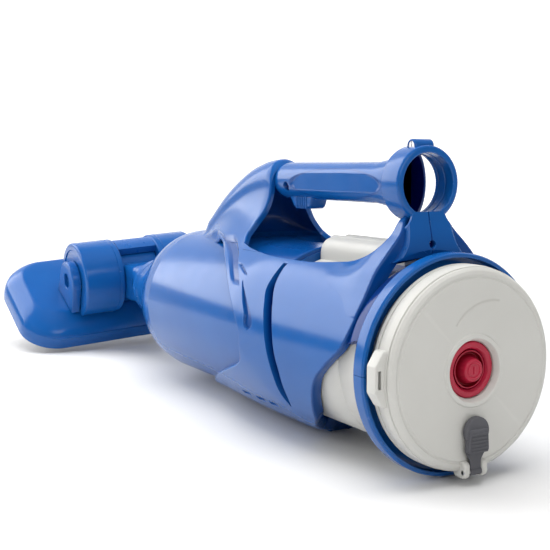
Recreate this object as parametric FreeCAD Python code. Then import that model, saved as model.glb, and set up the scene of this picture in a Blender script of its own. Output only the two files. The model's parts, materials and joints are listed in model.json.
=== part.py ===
"""Cordless handheld pool vacuum: a barrel body with a pole handle, a white motor can and a tilting head.

Lengths are millimetres.  Everything is first laid out in the body's own axes: +Y runs forward along the barrel
from the rear face of the end cap, +Z is up and X is across, with the barrel's centre line at x = z = 0.
The finished solids are then moved so that the origin is the bottom centre of the whole object.
"""

import FreeCAD
import Part
import math
import os

V = FreeCAD.Vector

# ---- driving sizes ------------------------------------------------------------------------------------------
WALL = 3.0                  # wall of the moulded covers
RUN_GAP = 0.4               # gap between round pieces that turn in each other
PIN_GAP = 0.05              # radial clearance of a pin in its hole

CAP_R = 66.0                # end cap, largest radius
CAP_FACE_R = 60.0           # flat of the rear face
CAP_DEPTH = 14.0
FLANGE_Y = 17.5             # front face of the motor can's flange
PAD_R = 26.4                # raised lip round the dish of the power button
PAD_RISE = 1.2
DISH_Y = 3.0                # bottom of the dish, where the bezel's face lies
BEZEL_R = 18.2
BUTTON_Y = 3.8              # rear face of the button
TAB_X = 72.0                # side tab of the cap
LUG_HALF_W, LUG_LOW_Z = 9.5, -68.2
PLUG_Z = -38.0              # charging plug
PLUG_PIVOT_Y, PLUG_PIVOT_Z = -2.4, -64.0
COLLAR_R = 72.6
COLLAR_Y0, COLLAR_Y1 = 17.8, 30.0
CAN_R = 60.5                # motor can
CAN_FRONT_Y = 158.0
CAN_BORE_Y1 = 160.0         # end of the shells' bore round the can
SPINE_HALF_W = 16.0         # wiring spine along the top of the can
SPINE_TOP_Z = 76.0

SHELL_Y0, SHELL_Y1 = 30.3, 384.0
SHELL_RADII = ((20, 65.4), (60, 67.5), (100, 70.5), (150, 75.0), (190, 77.5), (230, 77.2),
               (280, 75.5), (320, 73.0), (352, 70.0), (390, 67.2))
BELLY_LIFT = 6.6            # the belly is flattened by a larger turned form lifted this much
BELLY_RADII = ((20, 77.6), (120, 77.6), (186, 77.6), (238, 76.1), (280, 74.6), (310, 74.2), (390, 74.2))
DRAIN_RUNS = ((150.0, 161.0), (168.0, 180.5), (190.5, 203.0))
DRAIN_DEG = 130.5           # turn of the drains from the top
FOOT_Z = -73.4              # narrow flat foot under the belly
FOOT_HALF_W = 10.0
FOOT_Y0, FOOT_Y1 = 150.0, 215.0
DECK_R = 67.6               # floor under the handle opening
NOSE_R = 64.4               # nose cone barrel
NOSE_Y0 = 165.0
NOSE_STRAIGHT_Y = 371.0
SNOUT_R = 30.0
SNOUT_Y1 = 490.0
SPIGOT_R = 24.2             # neck tube that turns in the snout
SPIGOT_PLAY = 0.3           # radial clearance of the neck tube in the snout
DOME = (                    # y and the share of the way from the snout's radius to the barrel's, outside
    (384.0, 0.96512), (400.0, 0.84012), (418.0, 0.625), (436.0, 0.35756), (452.0, 0.13953), (464.0, 0.03488))
DOME_ROOM = (               # the same inside, from the neck tube's bore to the barrel's inner wall
    (380.0, 0.97832), (398.0, 0.84824), (416.0, 0.65312), (434.0, 0.40379), (450.0, 0.19241), (460.0, 0.10027))
FILTER_PLAY = 0.3           # radial clearance of the filter ring in the nose
FILTER_RIM = 8.7            # the ring's width round its spigot, which the bag's mouth fits over
FILTER_WALL = 2.4           # wall of that spigot
BAG_PLAY = 0.2
DUCT_R = 20.5
FLAP_Y, FLAP_PIN_Z, FLAP_PIN_R = 462.0, 22.6, 1.3

HANDLE_Z = 115.5            # axis of the pole ring and of the grip
RING_R = 25.3
RING_BORE_R = 20.5
RING_Y0, RING_Y1 = 48.0, 66.8
GRIP_HALF_H = 14.4
GRIP_Y1 = 236.0
GRIP_BORE_R = 9.5
GRIP_PIN_Y, GRIP_PIN_Z = 211.0, 111.2
RING_SCREW_Y, RING_SCREW_Z = 57.4, 140.4
BOSS_R = 4.6
BOSS_HALF_W = 8.0
POST_SCREW_Z = 76.3
LUG_Y = 180.0               # rear end of the lug under the grip
HOOD_Y0 = 229.0
HOOD_STATIONS = (           # y, crown height, crown radius, barrel radius and flank angle of each section
    (HOOD_Y0, 133.0, 17.5, 77.0, 50), (245.0, 132.0, 18.0, 76.6, 50), (264.0, 128.3, 19.0, 76.0, 51),
    (284.0, 121.5, 20.5, 75.2, 52), (310.0, 110.2, 23.0, 73.6, 53), (341.0, 95.1, 27.0, 71.0, 55),
    (366.0, 81.8, 33.0, 68.8, 58), (SHELL_Y1, 73.4, 38.0, 67.4, 60))

PIVOT = V(0, 573.0, 8.0)    # tilt axis of the head
HEAD_PITCH = 30.0
HEAD_ROLL = 4.0
DRUM_R = 40.0
DRUM_X0, DRUM_X1 = 22.0, 66.0
EAR_X1 = 75.0
NECK_HALF_W = 21.5
NECK_LOW_Z, NECK_TOP_Z = -25.5, 14.0
NECK_DRUM_R = 30.0
PIVOT_PIN_R = 5.0
BRIDGE_Y0, BRIDGE_Y1 = -6.0, 15.0
PLATE_TOP_Z = -27.0         # head sizes below are in the head's own axes, from the tilt axis
PLATE_BOTTOM_Z = -57.0
PLATE_HALF_W = 125.0
PLATE_Y0, PLATE_Y1 = -43.0, 90.0
ROLLER_R = 7.0
ROLLER_X = 104.0
ROLLER_YS = (-16.0, 60.0)
ROLLER_Z = -58.2

CELL_R = 9.1                # battery cells, in a ring round the spool
CELL_Y0, CELL_Y1 = 24.0, 89.0
CELL_RING_R = 36.0
CELL_COUNT = 5
MOTOR_R = 22.0
MOTOR_Y0, MOTOR_Y1 = 96.0, 150.0
SHAFT_R = 2.5
PLATE_R = CAN_R - WALL - 2.5             # motor plate, and the step of the can in front of it
CASING_R = NOSE_R - WALL - RUN_GAP      # impeller casing, inside the nose's skirt
CASING_WALL = 2.8
IMPELLER_GAP = 8.2          # between the impeller and the casing's wall

BIG = 400.0


# ---- drawing helpers ----------------------------------------------------------------------------------------
def turned(points):
    """Solid of revolution about the Y axis from a closed outline of (y, radius) points."""
    loop = [V(r, y, 0) for y, r in points]
    face = Part.Face(Part.makePolygon(loop + loop[:1]))
    return face.revolve(V(0, 0, 0), V(0, 1, 0), 360)


def turned_smooth(outer, inner_points):
    """Solid of revolution with a smooth outside through (y, radius) points, closed by straight runs."""
    curve = Part.BSplineCurve()
    curve.interpolate([V(r, y, 0) for y, r in outer])
    loop = [V(outer[-1][1], outer[-1][0], 0)] + [V(r, y, 0) for y, r in inner_points]
    loop.append(V(outer[0][1], outer[0][0], 0))
    runs = [Part.makeLine(a, b) for a, b in zip(loop, loop[1:])]
    face = Part.Face(Part.Wire([curve.toShape()] + runs))
    return face.revolve(V(0, 0, 0), V(0, 1, 0), 360)


def rod_y(radius, y0, y1, x=0.0, z=0.0):
    """Cylinder along Y."""
    return Part.makeCylinder(radius, y1 - y0, V(x, y0, z), V(0, 1, 0))


def rod_x(radius, x0, x1, y=0.0, z=0.0):
    """Cylinder along X."""
    return Part.makeCylinder(radius, x1 - x0, V(x0, y, z), V(1, 0, 0))


def tube_y(outer, inner, y0, y1, x=0.0, z=0.0):
    """Straight tube along Y."""
    return rod_y(outer, y0, y1, x, z).cut(rod_y(inner, y0 - 1, y1 + 1, x, z))


def block(x0, x1, y0, y1, z0, z1):
    """Box from its low corner to its high corner."""
    return Part.makeBox(x1 - x0, y1 - y0, z1 - z0, V(x0, y0, z0))


def side_cutter(curve_points, corner_points, half_width=BIG):
    """Prism across X whose side view is a smooth curve of (y, z) points closed through straight corners."""
    curve = Part.BSplineCurve()
    curve.interpolate([V(-half_width, y, z) for y, z in curve_points])
    ends = [curve_points[-1], *corner_points, curve_points[0]]
    loop = [V(-half_width, y, z) for y, z in ends]
    runs = [Part.makeLine(a, b) for a, b in zip(loop, loop[1:])]
    face = Part.Face(Part.Wire([curve.toShape()] + runs))
    return face.extrude(V(2 * half_width, 0, 0))


def rounded_slab(half_w, y0, y1, z, radius):
    """Flat wire in the XY plane: a rectangle with round corners."""
    centres = [(half_w - radius, y0 + radius), (half_w - radius, y1 - radius),
               (-half_w + radius, y1 - radius), (-half_w + radius, y0 + radius)]
    arcs = []
    for index, (cx, cy) in enumerate(centres):
        stops = [math.radians(90 * index + turn) for turn in (-90, -45, 0)]
        arcs.append([V(cx + radius * math.cos(t), cy + radius * math.sin(t), z) for t in stops])
    edges = []
    for arc, following in zip(arcs, arcs[1:] + arcs[:1]):
        edges.append(Part.Arc(*arc).toShape())
        edges.append(Part.makeLine(arc[2], following[0]))
    return Part.Wire(edges)


def side_prism(outline, side):
    """Prism outward from the middle on one side, with a straight-edged outline of (y, z) points."""
    face = Part.Face(Part.makePolygon([V(0, y, z) for y, z in outline + outline[:1]]))
    return face.extrude(V(side * BIG, 0, 0))


def half(shape, side):
    """Keep the left (side -1) or the right (side +1) half."""
    return shape.common(block(min(0, side * BIG), max(0, side * BIG), -BIG, 2 * BIG, -BIG, BIG))


def fuse(first, *others):
    """Join solids into one and drop the seams between them."""
    return first.multiFuse(list(others)).removeSplitter()


def roll(shape):
    """Turn a piece of the neck or head about the barrel's centre line to its resting roll."""
    moved = shape.copy()
    moved.rotate(V(0, 0, 0), V(0, 1, 0), -HEAD_ROLL)
    return moved


def head_place(shape):
    """Carry a solid from the head's own axes to its place on the neck."""
    moved = shape.copy()
    moved.rotate(V(0, 0, 0), V(1, 0, 0), HEAD_PITCH)
    moved.translate(PIVOT)
    return roll(moved)


# ---- body shells --------------------------------------------------------------------------------------------
def mirrored(p):
    """The same point on the other side of the middle plane."""
    return V(-p.x, p.y, p.z)


def hood_section(y, top_z, top_r, barrel_r, flank_deg):
    """One cross section of the hood: a round crown, a hollow flank each side and a flat foot in the barrel."""
    centre_z = top_z - top_r
    lean = math.radians(flank_deg)
    foot = V(barrel_r * math.sin(lean), y, barrel_r * math.cos(lean))
    reach = 0.45 * (centre_z - foot.z)
    shoulder = V(top_r, y, centre_z)
    pull_up = foot + V(-math.cos(lean), 0, math.sin(lean)) * reach
    crown = Part.Arc(mirrored(shoulder), V(0, y, top_z), shoulder).toShape()
    flank = Part.BezierCurve()
    flank.setPoles([shoulder, shoulder - V(0, 0, reach), pull_up, foot])
    other = Part.BezierCurve()
    other.setPoles([mirrored(p) for p in (foot, pull_up, shoulder - V(0, 0, reach), shoulder)])
    low = V(foot.x * 0.8, y, 5.0)
    return Part.Wire([crown, flank.toShape(), Part.makeLine(foot, low), Part.makeLine(low, mirrored(low)),
                      Part.makeLine(mirrored(low), mirrored(foot)), other.toShape()])


def hood(shrink=0.0, y0=None, y1=None):
    """Hump that carries the front of the grip; shrink gives its hollow inside."""
    wires = []
    for y, top_z, top_r, barrel_r, flank_deg in HOOD_STATIONS:
        wires.append(hood_section(y, top_z - shrink, top_r - 0.8 * shrink, barrel_r - shrink, flank_deg))
    solid = Part.makeLoft(wires, True, False)
    low = HOOD_Y0 - 1 if y0 is None else y0
    high = SHELL_Y1 + 1 if y1 is None else y1
    return solid.common(block(-BIG, BIG, low, high, -BIG, BIG))


def barrel():
    """Outside of the barrel: a turned form with a flattened belly and a narrow foot under it."""
    outer = [(SHELL_Y0, 65.9)] + [p for p in SHELL_RADII if SHELL_Y0 < p[0] < SHELL_Y1] + [(SHELL_Y1, 67.4)]
    body = turned_smooth(outer, [(SHELL_Y1, 0), (SHELL_Y0, 0)])
    belly = turned_smooth(BELLY_RADII, [(BELLY_RADII[-1][0], 0), (BELLY_RADII[0][0], 0)])
    belly.translate(V(0, 0, BELLY_LIFT))
    outline = [(FOOT_Y0 - 8, -66), (FOOT_Y0, FOOT_Z), (FOOT_Y1, FOOT_Z), (FOOT_Y1 + 30, -66)]
    face = Part.Face(Part.makePolygon([V(-FOOT_HALF_W, y, z) for y, z in outline + outline[:1]]))
    return body.common(belly).fuse(face.extrude(V(2 * FOOT_HALF_W, 0, 0)))


def handle_window():
    """Prism of the opening under the grip, in side view."""
    curve = [(58, 103), (57, 96), (55.2, 90), (54.6, 84), (56, 78), (60, 72), (66, 68), (78, 64.4), (97, 61.6),
             (133, 59.4), (171, 60.2), (208, 63.4), (227, 66.8), (234, 72.5), (233.5, 82), (230.6, 92),
             (229.6, 103)]
    return side_cutter(curve, [(229.6, 150), (58, 150)])


def rear_scallop():
    """Prism that opens the lower rear of the shells and bares the motor can."""
    curve = [(46.5, 45), (46.6, 42), (47.5, 28), (52, 14), (66, 1), (82, -14), (92, -30), (105, -48),
             (127, -62), (145, -70), (160, -77)]
    return side_cutter(curve, [(160, -150), (0, -150), (0, 45)])


def front_mouth():
    """Prism that sweeps the front edge of the shells back along both flanks."""
    curve = [(384.2, 72.6), (357, 72.0), (335, 71.2), (308, 69.4), (277, 66.4), (255, 61.8), (236.5, 55.4),
             (211, 41.9), (190.3, 27.1), (175.5, 12), (170.5, 0), (172, -14), (180, -20.4), (196, -26.5),
             (219, -34.2), (243, -42.5), (268, -51.5), (289, -60.5), (302, -70)]
    return side_cutter(curve, [(302, -150), (500, -150), (500, 72.6)])


def exhaust_slot(side):
    """Crescent outlet across one flank."""
    rear = [(148, 54), (144.6, 44), (136.5, 29.5), (129.6, 13), (125.5, -2), (121.8, -18), (121.6, -31),
            (124, -42)]
    front = [(127.4, -42), (129.2, -33), (131, -18), (135, -2), (140.6, 15), (146.6, 29), (152.4, 42.3),
             (154.6, 49), (152.2, 54)]
    back_curve = Part.BSplineCurve()
    back_curve.interpolate([V(0, y, z) for y, z in rear])
    front_curve = Part.BSplineCurve()
    front_curve.interpolate([V(0, y, z) for y, z in front])
    close_low = Part.makeLine(V(0, *rear[-1]), V(0, *front[0]))
    close_top = Part.makeLine(V(0, *front[-1]), V(0, *rear[0]))
    wire = Part.Wire([back_curve.toShape(), close_low, front_curve.toShape(), close_top])
    return Part.Face(wire).extrude(V(side * BIG, 0, 0))


def drain_slots(side):
    """Three narrow drains along the lower edge of one flank."""
    cuts = []
    for y0, y1 in DRAIN_RUNS:
        slot = block(-1.4, 1.4, y0, y1, 60, 90)
        slot.rotate(V(0, 0, 0), V(0, 1, 0), side * DRAIN_DEG)
        cuts.append(slot)
    return cuts


def flank_recesses(side):
    """Shallow moulded pockets of one flank: a drop behind the mouth and a ledge along the mouth's edge."""
    drop = [(185.5, 41.6), (175, 29), (167.5, 17), (165, 11.5), (160.6, 10), (156.6, 12.5), (157, 17),
            (169, 29)]
    ledge = [(228, 63), (212, 54.5), (191, 41), (196, 30), (211, 40), (232, 52)]
    drop_floor = rod_y(74.2, 140, 260)
    ledge_floor = rod_y(75.8, 140, 260)
    return [side_prism(drop, side).cut(drop_floor), side_prism(ledge, side).cut(ledge_floor)]


def strut():
    """A-shaped post from the barrel to the pole ring, with a hollow channel down each rear corner."""
    edge = [(13, 98), (14.5, 93.5), (24.8, 82), (37, 69), (44, 60), (52, 48)]
    outline = edge + [(-x, z) for x, z in reversed(edge)]
    face = Part.Face(Part.makePolygon([V(x, 41.5, z) for x, z in outline + outline[:1]]))
    post = face.extrude(V(0, 26, 0))
    lean = side_cutter([(47.5, 99), (46.5, 92), (43.5, 80), (41.8, 70)], [(41.6, 40), (20, 40), (20, 99)])
    post = post.cut(lean)
    post = post.cut(rod_y(2.3, 38, 52.4, z=POST_SCREW_Z))
    for side in (-1, 1):
        channel = Part.makeCylinder(5.5, 70, V(side * 13.5, 43, 100), V(side * 0.62, -0.05, -0.78))
        post = post.cut(channel)
    return post


def pole_ring():
    """Clamp ring on top of the post, with the boss of its cross screw."""
    ring = rod_y(RING_R, RING_Y0, RING_Y1, z=HANDLE_Z)
    ring = ring.makeFillet(2.2, [e for e in ring.Edges if e.Length > 100])
    boss = rod_x(BOSS_R, -BOSS_HALF_W, BOSS_HALF_W, y=RING_SCREW_Y, z=RING_SCREW_Z)
    web = block(-BOSS_HALF_W, BOSS_HALF_W, 51.4, 63.4, HANDLE_Z + 20, RING_SCREW_Z + 0.6)
    return fuse(ring, boss, web)


def ring_bore():
    """Pole bore, and the hole of the cross screw with a round recess at each end."""
    bore = rod_y(RING_BORE_R, RING_Y0 - 1, RING_Y1 + 1, z=HANDLE_Z)
    screw = rod_x(1.7, -20, 20, y=RING_SCREW_Y, z=RING_SCREW_Z)
    for end in (-1, 1):
        x0, x1 = sorted((end * 5.4, end * 12.0))
        screw = screw.fuse(rod_x(3.2, x0, x1, y=RING_SCREW_Y, z=RING_SCREW_Z))
    return bore.fuse(screw)


def shells():
    """Both moulded halves of the body: barrel, hood, post and ring in one piece each."""
    solid = fuse(barrel(), hood(), strut())
    window = handle_window().cut(rod_y(DECK_R, 160, 300))
    solid = solid.cut(window).cut(rear_scallop()).cut(front_mouth())
    scoop = side_cutter([(229, 103), (246, 101), (257, 92), (260, 80), (255, 70), (244, 65)],
                        [(215, 62), (215, 103)], 30).cut(rod_y(DECK_R, 160, 300))
    wedge = Part.Face(Part.makePolygon([V(x, 214, z) for x, z in (
        (-12, 104), (12, 104), (16, 96), (24, 84), (31, 72), (36, 60), (-36, 60), (-31, 72), (-24, 84),
        (-16, 96), (-12, 104))])).extrude(V(0, 50, 0))
    solid = solid.cut(scoop.common(wedge))
    socket = rod_y(GRIP_HALF_H + 1.2, HOOD_Y0 - 20, GRIP_Y1 + 4.0, z=HANDLE_Z)
    solid = solid.cut(socket)
    hollow = hood(WALL + 0.5, 268.0, 368.0).cut(rod_y(DECK_R + 2.0, 200, 400))
    solid = solid.cut(hollow)
    solid = solid.cut(rod_y(CAN_R + 0.5, 0, CAN_BORE_Y1)).cut(rod_y(NOSE_R + RUN_GAP, 159.0, SHELL_Y1 + 1))
    spine_room = block(-SPINE_HALF_W - 1, SPINE_HALF_W + 1, 0, 162, 40, SPINE_TOP_Z + 1)
    solid = solid.cut(spine_room)
    chamber = tube_y(70.0, CAN_R, 108, 156).cut(block(-BIG, BIG, 100, 160, -BIG, -52))
    solid = solid.cut(chamber.cut(block(-52, 52, 100, 160, 45, BIG)))
    solid = solid.cut(rod_y(RING_R + 0.05, RING_Y0 - 10, RING_Y1 + 10, z=HANDLE_Z))
    halves = {}
    for name, side in (("left_shell", -1), ("right_shell", 1)):
        piece = half(solid, side).cut(exhaust_slot(side))
        for cut in drain_slots(side) + flank_recesses(side):
            piece = piece.cut(cut)
        halves[name] = piece
    return halves


def pole_ring_halves():
    """The pole ring, split down its middle like the shells it sits on."""
    ring = pole_ring().cut(ring_bore())
    return {"left_ring": half(ring, -1), "right_ring": half(ring, 1)}


# ---- grip ---------------------------------------------------------------------------------------------------
def oval_section(y, half_w, half_h):
    """Oval cross section of the grip."""
    ellipse = Part.Ellipse(V(0, y, HANDLE_Z), max(half_w, half_h), min(half_w, half_h))
    ellipse.Axis = V(0, 1, 0)
    ellipse.XAxis = V(0, 0, 1) if half_h >= half_w else V(1, 0, 0)
    return Part.Wire([ellipse.toShape()])


def grip_bar():
    """Outside of the oval handle between the pole ring and the hood."""
    stations = ((RING_Y1, 12.4, 24.6), (72, 12.6, 23.0), (80, 12.9, 19.4), (90, 13.2, 16.2), (104, 13.4, 14.6),
                (140, 13.6, GRIP_HALF_H), (190, 13.4, GRIP_HALF_H), (222, 13.4, GRIP_HALF_H), (230, 12.6, 13.4),
                (234.5, 9.8, 10.6))
    return Part.makeLoft([oval_section(y, w, h) for y, w, h in stations], True, False)


def grips():
    """The grip, bored for the end of a pole, pinned across and split down its middle."""
    solid = grip_bar()
    solid = solid.cut(rod_y(GRIP_BORE_R, RING_Y1 - 1, 200, z=HANDLE_Z))
    solid = solid.cut(rod_x(3.3, -30, 30, y=GRIP_PIN_Y, z=GRIP_PIN_Z))
    for side in (-1, 1):
        pad = Part.makeCylinder(60, 3, V(side * 12.9, 150, HANDLE_Z), V(side, 0, 0))
        pad = pad.common(block(-20, 20, 92, 208, HANDLE_Z - 9, HANDLE_Z + 10))
        solid = solid.cut(pad)
    return {"left_grip": half(solid, -1), "right_grip": half(solid, 1)}


def grip_lug():
    """Ribbed lug under the front of the grip."""
    z1 = HANDLE_Z - GRIP_HALF_H + 1.2
    y0 = LUG_Y
    outline = [(y0 + 32, z1), (y0 + 29, z1 - 5.5), (y0 + 21, z1 - 8), (y0 + 11, z1 - 7.4), (y0 + 3, z1 - 3.6),
               (y0, z1)]
    body = side_cutter(outline, [], 7.0)
    for step in range(5):
        y = y0 + 6.0 + 4.4 * step
        body = body.cut(block(-10, 10, y, y + 1.8, z1 - 12, z1 - 4.6))
    return body.cut(grip_bar())


# ---- rear end -----------------------------------------------------------------------------------------------
def motor_housing():
    """White can of the motor and battery, with its rear flange and the wiring spine on top."""
    can = turned([(6, CAN_R - WALL), (6, CAN_R), (CAP_DEPTH + 0.3, CAN_R), (CAP_DEPTH + 0.3, CAP_R),
                  (FLANGE_Y, CAP_R), (FLANGE_Y, CAN_R), (CAN_FRONT_Y - 4, CAN_R), (CAN_FRONT_Y, CAN_R - 4),
                  (CAN_FRONT_Y, 6.4), (CAN_FRONT_Y - 3, 6.4), (CAN_FRONT_Y - 3, PLATE_R),
                  (CAN_FRONT_Y - 6, CAN_R - WALL)])
    side = [(31, 72), (60, 74), (90, 75.2), (130, SPINE_TOP_Z), (152, SPINE_TOP_Z), (158, 72)]
    spine = side_cutter(side, [(158, 58), (31, 58)], SPINE_HALF_W)
    spine = spine.cut(rod_y(CAN_R - 1, 20, 170))
    hollow = block(-SPINE_HALF_W + WALL, SPINE_HALF_W - WALL, 34, 154, 50, SPINE_TOP_Z - 5.5)
    return fuse(can, spine).cut(hollow.cut(rod_y(CAN_R - WALL, 20, 170)))


def end_cap():
    """White rear cap: domed rim, flat face with a raised lip and dish, a side tab and the plug strap's lug."""
    rim = turned([(0, 0), (0, CAP_FACE_R), (0.6, 62.4), (2.0, 64.4), (4.2, 65.7), (6, CAP_R),
                  (CAP_DEPTH, CAP_R), (CAP_DEPTH, 61.6), (3.5, 61.6), (3.5, 0)])
    pad = turned([(-PAD_RISE, 0), (-PAD_RISE, PAD_R - 1.0), (0.5, PAD_R), (0.5, 28.0), (DISH_Y + 4.6, 28.0),
                  (DISH_Y + 4.6, 0)])
    cap = fuse(rim, pad)
    dish = turned([(-PAD_RISE - 1, 0), (-PAD_RISE - 1, PAD_R - 1.8), (-PAD_RISE, PAD_R - 2.2),
                   (DISH_Y, BEZEL_R + 0.3), (DISH_Y + 1.9, BEZEL_R + 0.3), (DISH_Y + 1.9, 16.0),
                   (DISH_Y + 6, 16.0), (DISH_Y + 6, 0)])
    cap = cap.cut(dish)
    outline = [(-63, -17.5), (-68.5, -15.0), (-TAB_X, -8.0), (-TAB_X, 8.0), (-68.5, 15.0), (-63, 17.5)]
    face = Part.Face(Part.makePolygon([V(x, 5.0, z) for x, z in outline + outline[:1]]))
    slot = block(-70, -67, 4, 15, -5.8, 5.8)
    cap = fuse(cap, face.extrude(V(0, 8.8, 0)).cut(rod_y(63, 0, 20))).cut(slot)
    lug = block(-LUG_HALF_W, LUG_HALF_W, -4.4, 9.0, LUG_LOW_Z, -58.0).cut(rod_y(61.6, 3.5, 20))
    cheek_gap = block(-4.7, 4.7, -6, 0.5, LUG_LOW_Z - 1, -56)
    cap = fuse(cap, lug).cut(cheek_gap)
    cap = cap.cut(rod_y(4.6, -5, 10, z=PLUG_Z))
    return cap.cut(rod_x(1.55, -LUG_HALF_W - 1, LUG_HALF_W + 1, y=PLUG_PIVOT_Y, z=PLUG_PIVOT_Z))


def charge_plug():
    """Rubber plug of the charging port: round head, ribbed pull tab and the strap to its pin."""
    head = rod_y(9.4, -5.4, -1.5, z=PLUG_Z)
    head = head.makeFillet(1.2, [head.Edges[0]])
    stem = rod_y(3.6, -1.6, 2.4, z=PLUG_Z)
    top, low = PLUG_Z + 2.0, PLUG_Z - 13.5
    tab = Part.Face(Part.makePolygon([V(x, -7.4, z) for x, z in (
        (-7.4, top), (7.4, top), (8.4, low), (-8.4, low), (-7.4, top))])).extrude(V(0, 5.6, 0))
    for step in range(6):
        tab = tab.cut(block(-10, 10, -8, -6.6, top - 4.6 - 2.2 * step, top - 3.6 - 2.2 * step))
    strap = Part.Face(Part.makePolygon([V(x, -3.6, z) for x, z in (
        (-8.0, low + 1), (8.0, low + 1), (4.4, low - 5), (4.4, PLUG_PIVOT_Z), (-4.4, PLUG_PIVOT_Z),
        (-4.4, low - 5), (-8.0, low + 1))]))
    strap = strap.extrude(V(0, 1.8, 0))
    eye = rod_x(2.4, -4.4, 4.4, y=PLUG_PIVOT_Y, z=PLUG_PIVOT_Z)
    plug = fuse(head, stem, tab, strap, eye)
    return plug.cut(rod_x(1.5 + PIN_GAP, -10, 10, y=PLUG_PIVOT_Y, z=PLUG_PIVOT_Z))


def power_button():
    """Round push button with a raised ring-and-bar mark, and the stem behind it."""
    y = BUTTON_Y
    body = turned([(y, 0), (y, 10.4), (y + 0.6, 11.8), (y + 1.6, 12.5), (y + 7.0, 12.5), (y + 7.0, 0)])
    ring = tube_y(5.2, 4.1, y - 0.5, y + 0.4).cut(block(-1.6, 1.6, y - 2, y + 1, 2, 8))
    bar = block(-0.6, 0.6, y - 0.5, y + 0.4, 1.2, 6.4)
    stem = rod_y(2.5, y + 6.6, y + 9.2)
    return fuse(body, ring, bar, stem)


def rear_fittings():
    """Small fixed pieces of the rear end."""
    made = {}
    y = DISH_Y
    made["button_bezel"] = turned([(y, 13.9), (y, BEZEL_R - 0.8), (y + 0.6, BEZEL_R), (y + 1.9, BEZEL_R),
                                   (y + 1.9, 15.9), (y + 6.4, 15.9), (y + 6.4, 12.9), (y + 1.6, 12.9),
                                   (y + 0.6, 13.2)])
    made["cap_seal"] = tube_y(61.5, CAN_R + 0.1, 8.2, 10.6)
    face_y = BUTTON_Y + 11.3
    made["switch"] = fuse(block(-6, 6, face_y + 0.3, face_y + 4.2, -6, 6), rod_y(2.5, face_y, face_y + 0.4))
    socket = rod_y(6.2, 3.6, 15.0, z=PLUG_Z)
    made["charge_socket"] = socket.cut(rod_y(4.3, 3, 9, z=PLUG_Z))
    made["strap_pin"] = rod_x(1.5, -LUG_HALF_W, LUG_HALF_W, y=PLUG_PIVOT_Y, z=PLUG_PIVOT_Z)
    return made


def collars():
    """Blue clamp collar behind the shells, in an upper and a lower half."""
    ring = turned([(COLLAR_Y0, 69.6), (COLLAR_Y0, 71.6), (COLLAR_Y0 + 1.2, COLLAR_R), (COLLAR_Y1 - 3, COLLAR_R),
                   (COLLAR_Y1, 71.0), (COLLAR_Y1, CAN_R + 0.3), (COLLAR_Y1 - 4, CAN_R + 0.3),
                   (COLLAR_Y1 - 4, 69.6)])
    upper = ring.common(block(-BIG, BIG, 0, 60, 0.15, BIG))
    lower = ring.common(block(-BIG, BIG, 0, 60, -BIG, -0.15))
    return {"collar_upper": upper, "collar_lower": lower}


# ---- drive --------------------------------------------------------------------------------------------------
def battery():
    """Ring of round cells and the spool that holds them."""
    made = {}
    spool = fuse(rod_y(52, 20, 23.8), rod_y(52, 89.2, 92.5), tube_y(14, 11, 20, 92.5))
    spool = spool.cut(rod_y(11, 10, 100)).cut(rod_y(8, 19, 24, z=PLUG_Z))
    for index in range(CELL_COUNT):
        turn = math.radians(90 + 360 / CELL_COUNT * index)
        x, z = CELL_RING_R * math.cos(turn), CELL_RING_R * math.sin(turn)
        made[f"battery_cell_{index + 1}"] = rod_y(CELL_R, CELL_Y0, CELL_Y1, x=x, z=z)
    made["battery_holder"] = spool
    return made


def drive():
    """Motor, its plate and seal, and the shaft with the impeller."""
    made = {}
    can = turned([(MOTOR_Y0, 0), (MOTOR_Y0, 20), (MOTOR_Y0 + 2, MOTOR_R), (MOTOR_Y1, MOTOR_R), (MOTOR_Y1, 4),
                  (130, 4), (130, 0)])
    made["motor"] = can
    made["motor_plate"] = turned([(150.1, 9), (150.1, PLATE_R), (152.0, PLATE_R), (152.0, 9)])
    made["shaft_seal"] = turned([(152.2, SHAFT_R + 0.3), (152.2, 8.5), (154.8, 8.5), (154.8, 6.2), (158.4, 6.2),
                                 (158.4, SHAFT_R + 0.3)])
    made["motor_shaft"] = rod_y(SHAFT_R, 131, 175)
    rim = CASING_R - CASING_WALL - IMPELLER_GAP
    hub = turned([(160.5, SHAFT_R), (160.5, rim), (162.3, rim), (162.3, 12), (172, 8), (175, 6), (175, SHAFT_R)])
    vanes = []
    for index in range(7):
        vane = block(9, rim - 1, 162, 171.5, -0.9, 0.9)
        vane.rotate(V(9, 0, 0), V(0, 1, 0), 24)
        vane.rotate(V(0, 0, 0), V(0, 1, 0), index * 360 / 7)
        vanes.append(vane)
    made["impeller"] = fuse(hub, *vanes).cut(rod_y(SHAFT_R, 150, 180))
    rear = tube_y(NOSE_R, CASING_R - CASING_WALL, CAN_FRONT_Y + 1.0, NOSE_Y0 - 0.6)
    seat = tube_y(CAN_R + 0.1, CASING_R - CASING_WALL, CAN_FRONT_Y + 1.0, CAN_BORE_Y1)
    casing = fuse(rear, seat, tube_y(CASING_R, CASING_R - CASING_WALL, CAN_FRONT_Y + 1.0, 176.8))
    for index in range(8):
        port = block(CASING_R - 9, CASING_R + 9, NOSE_Y0, 175.0, -9, 9)
        port.rotate(V(0, 0, 0), V(0, 1, 0), 22.5 + 45 * index)
        casing = casing.cut(port)
    made["impeller_casing"] = casing
    made["impeller_cover"] = turned([(177, 22), (177, CASING_R), (180, CASING_R), (180, 22)])
    return made


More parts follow.
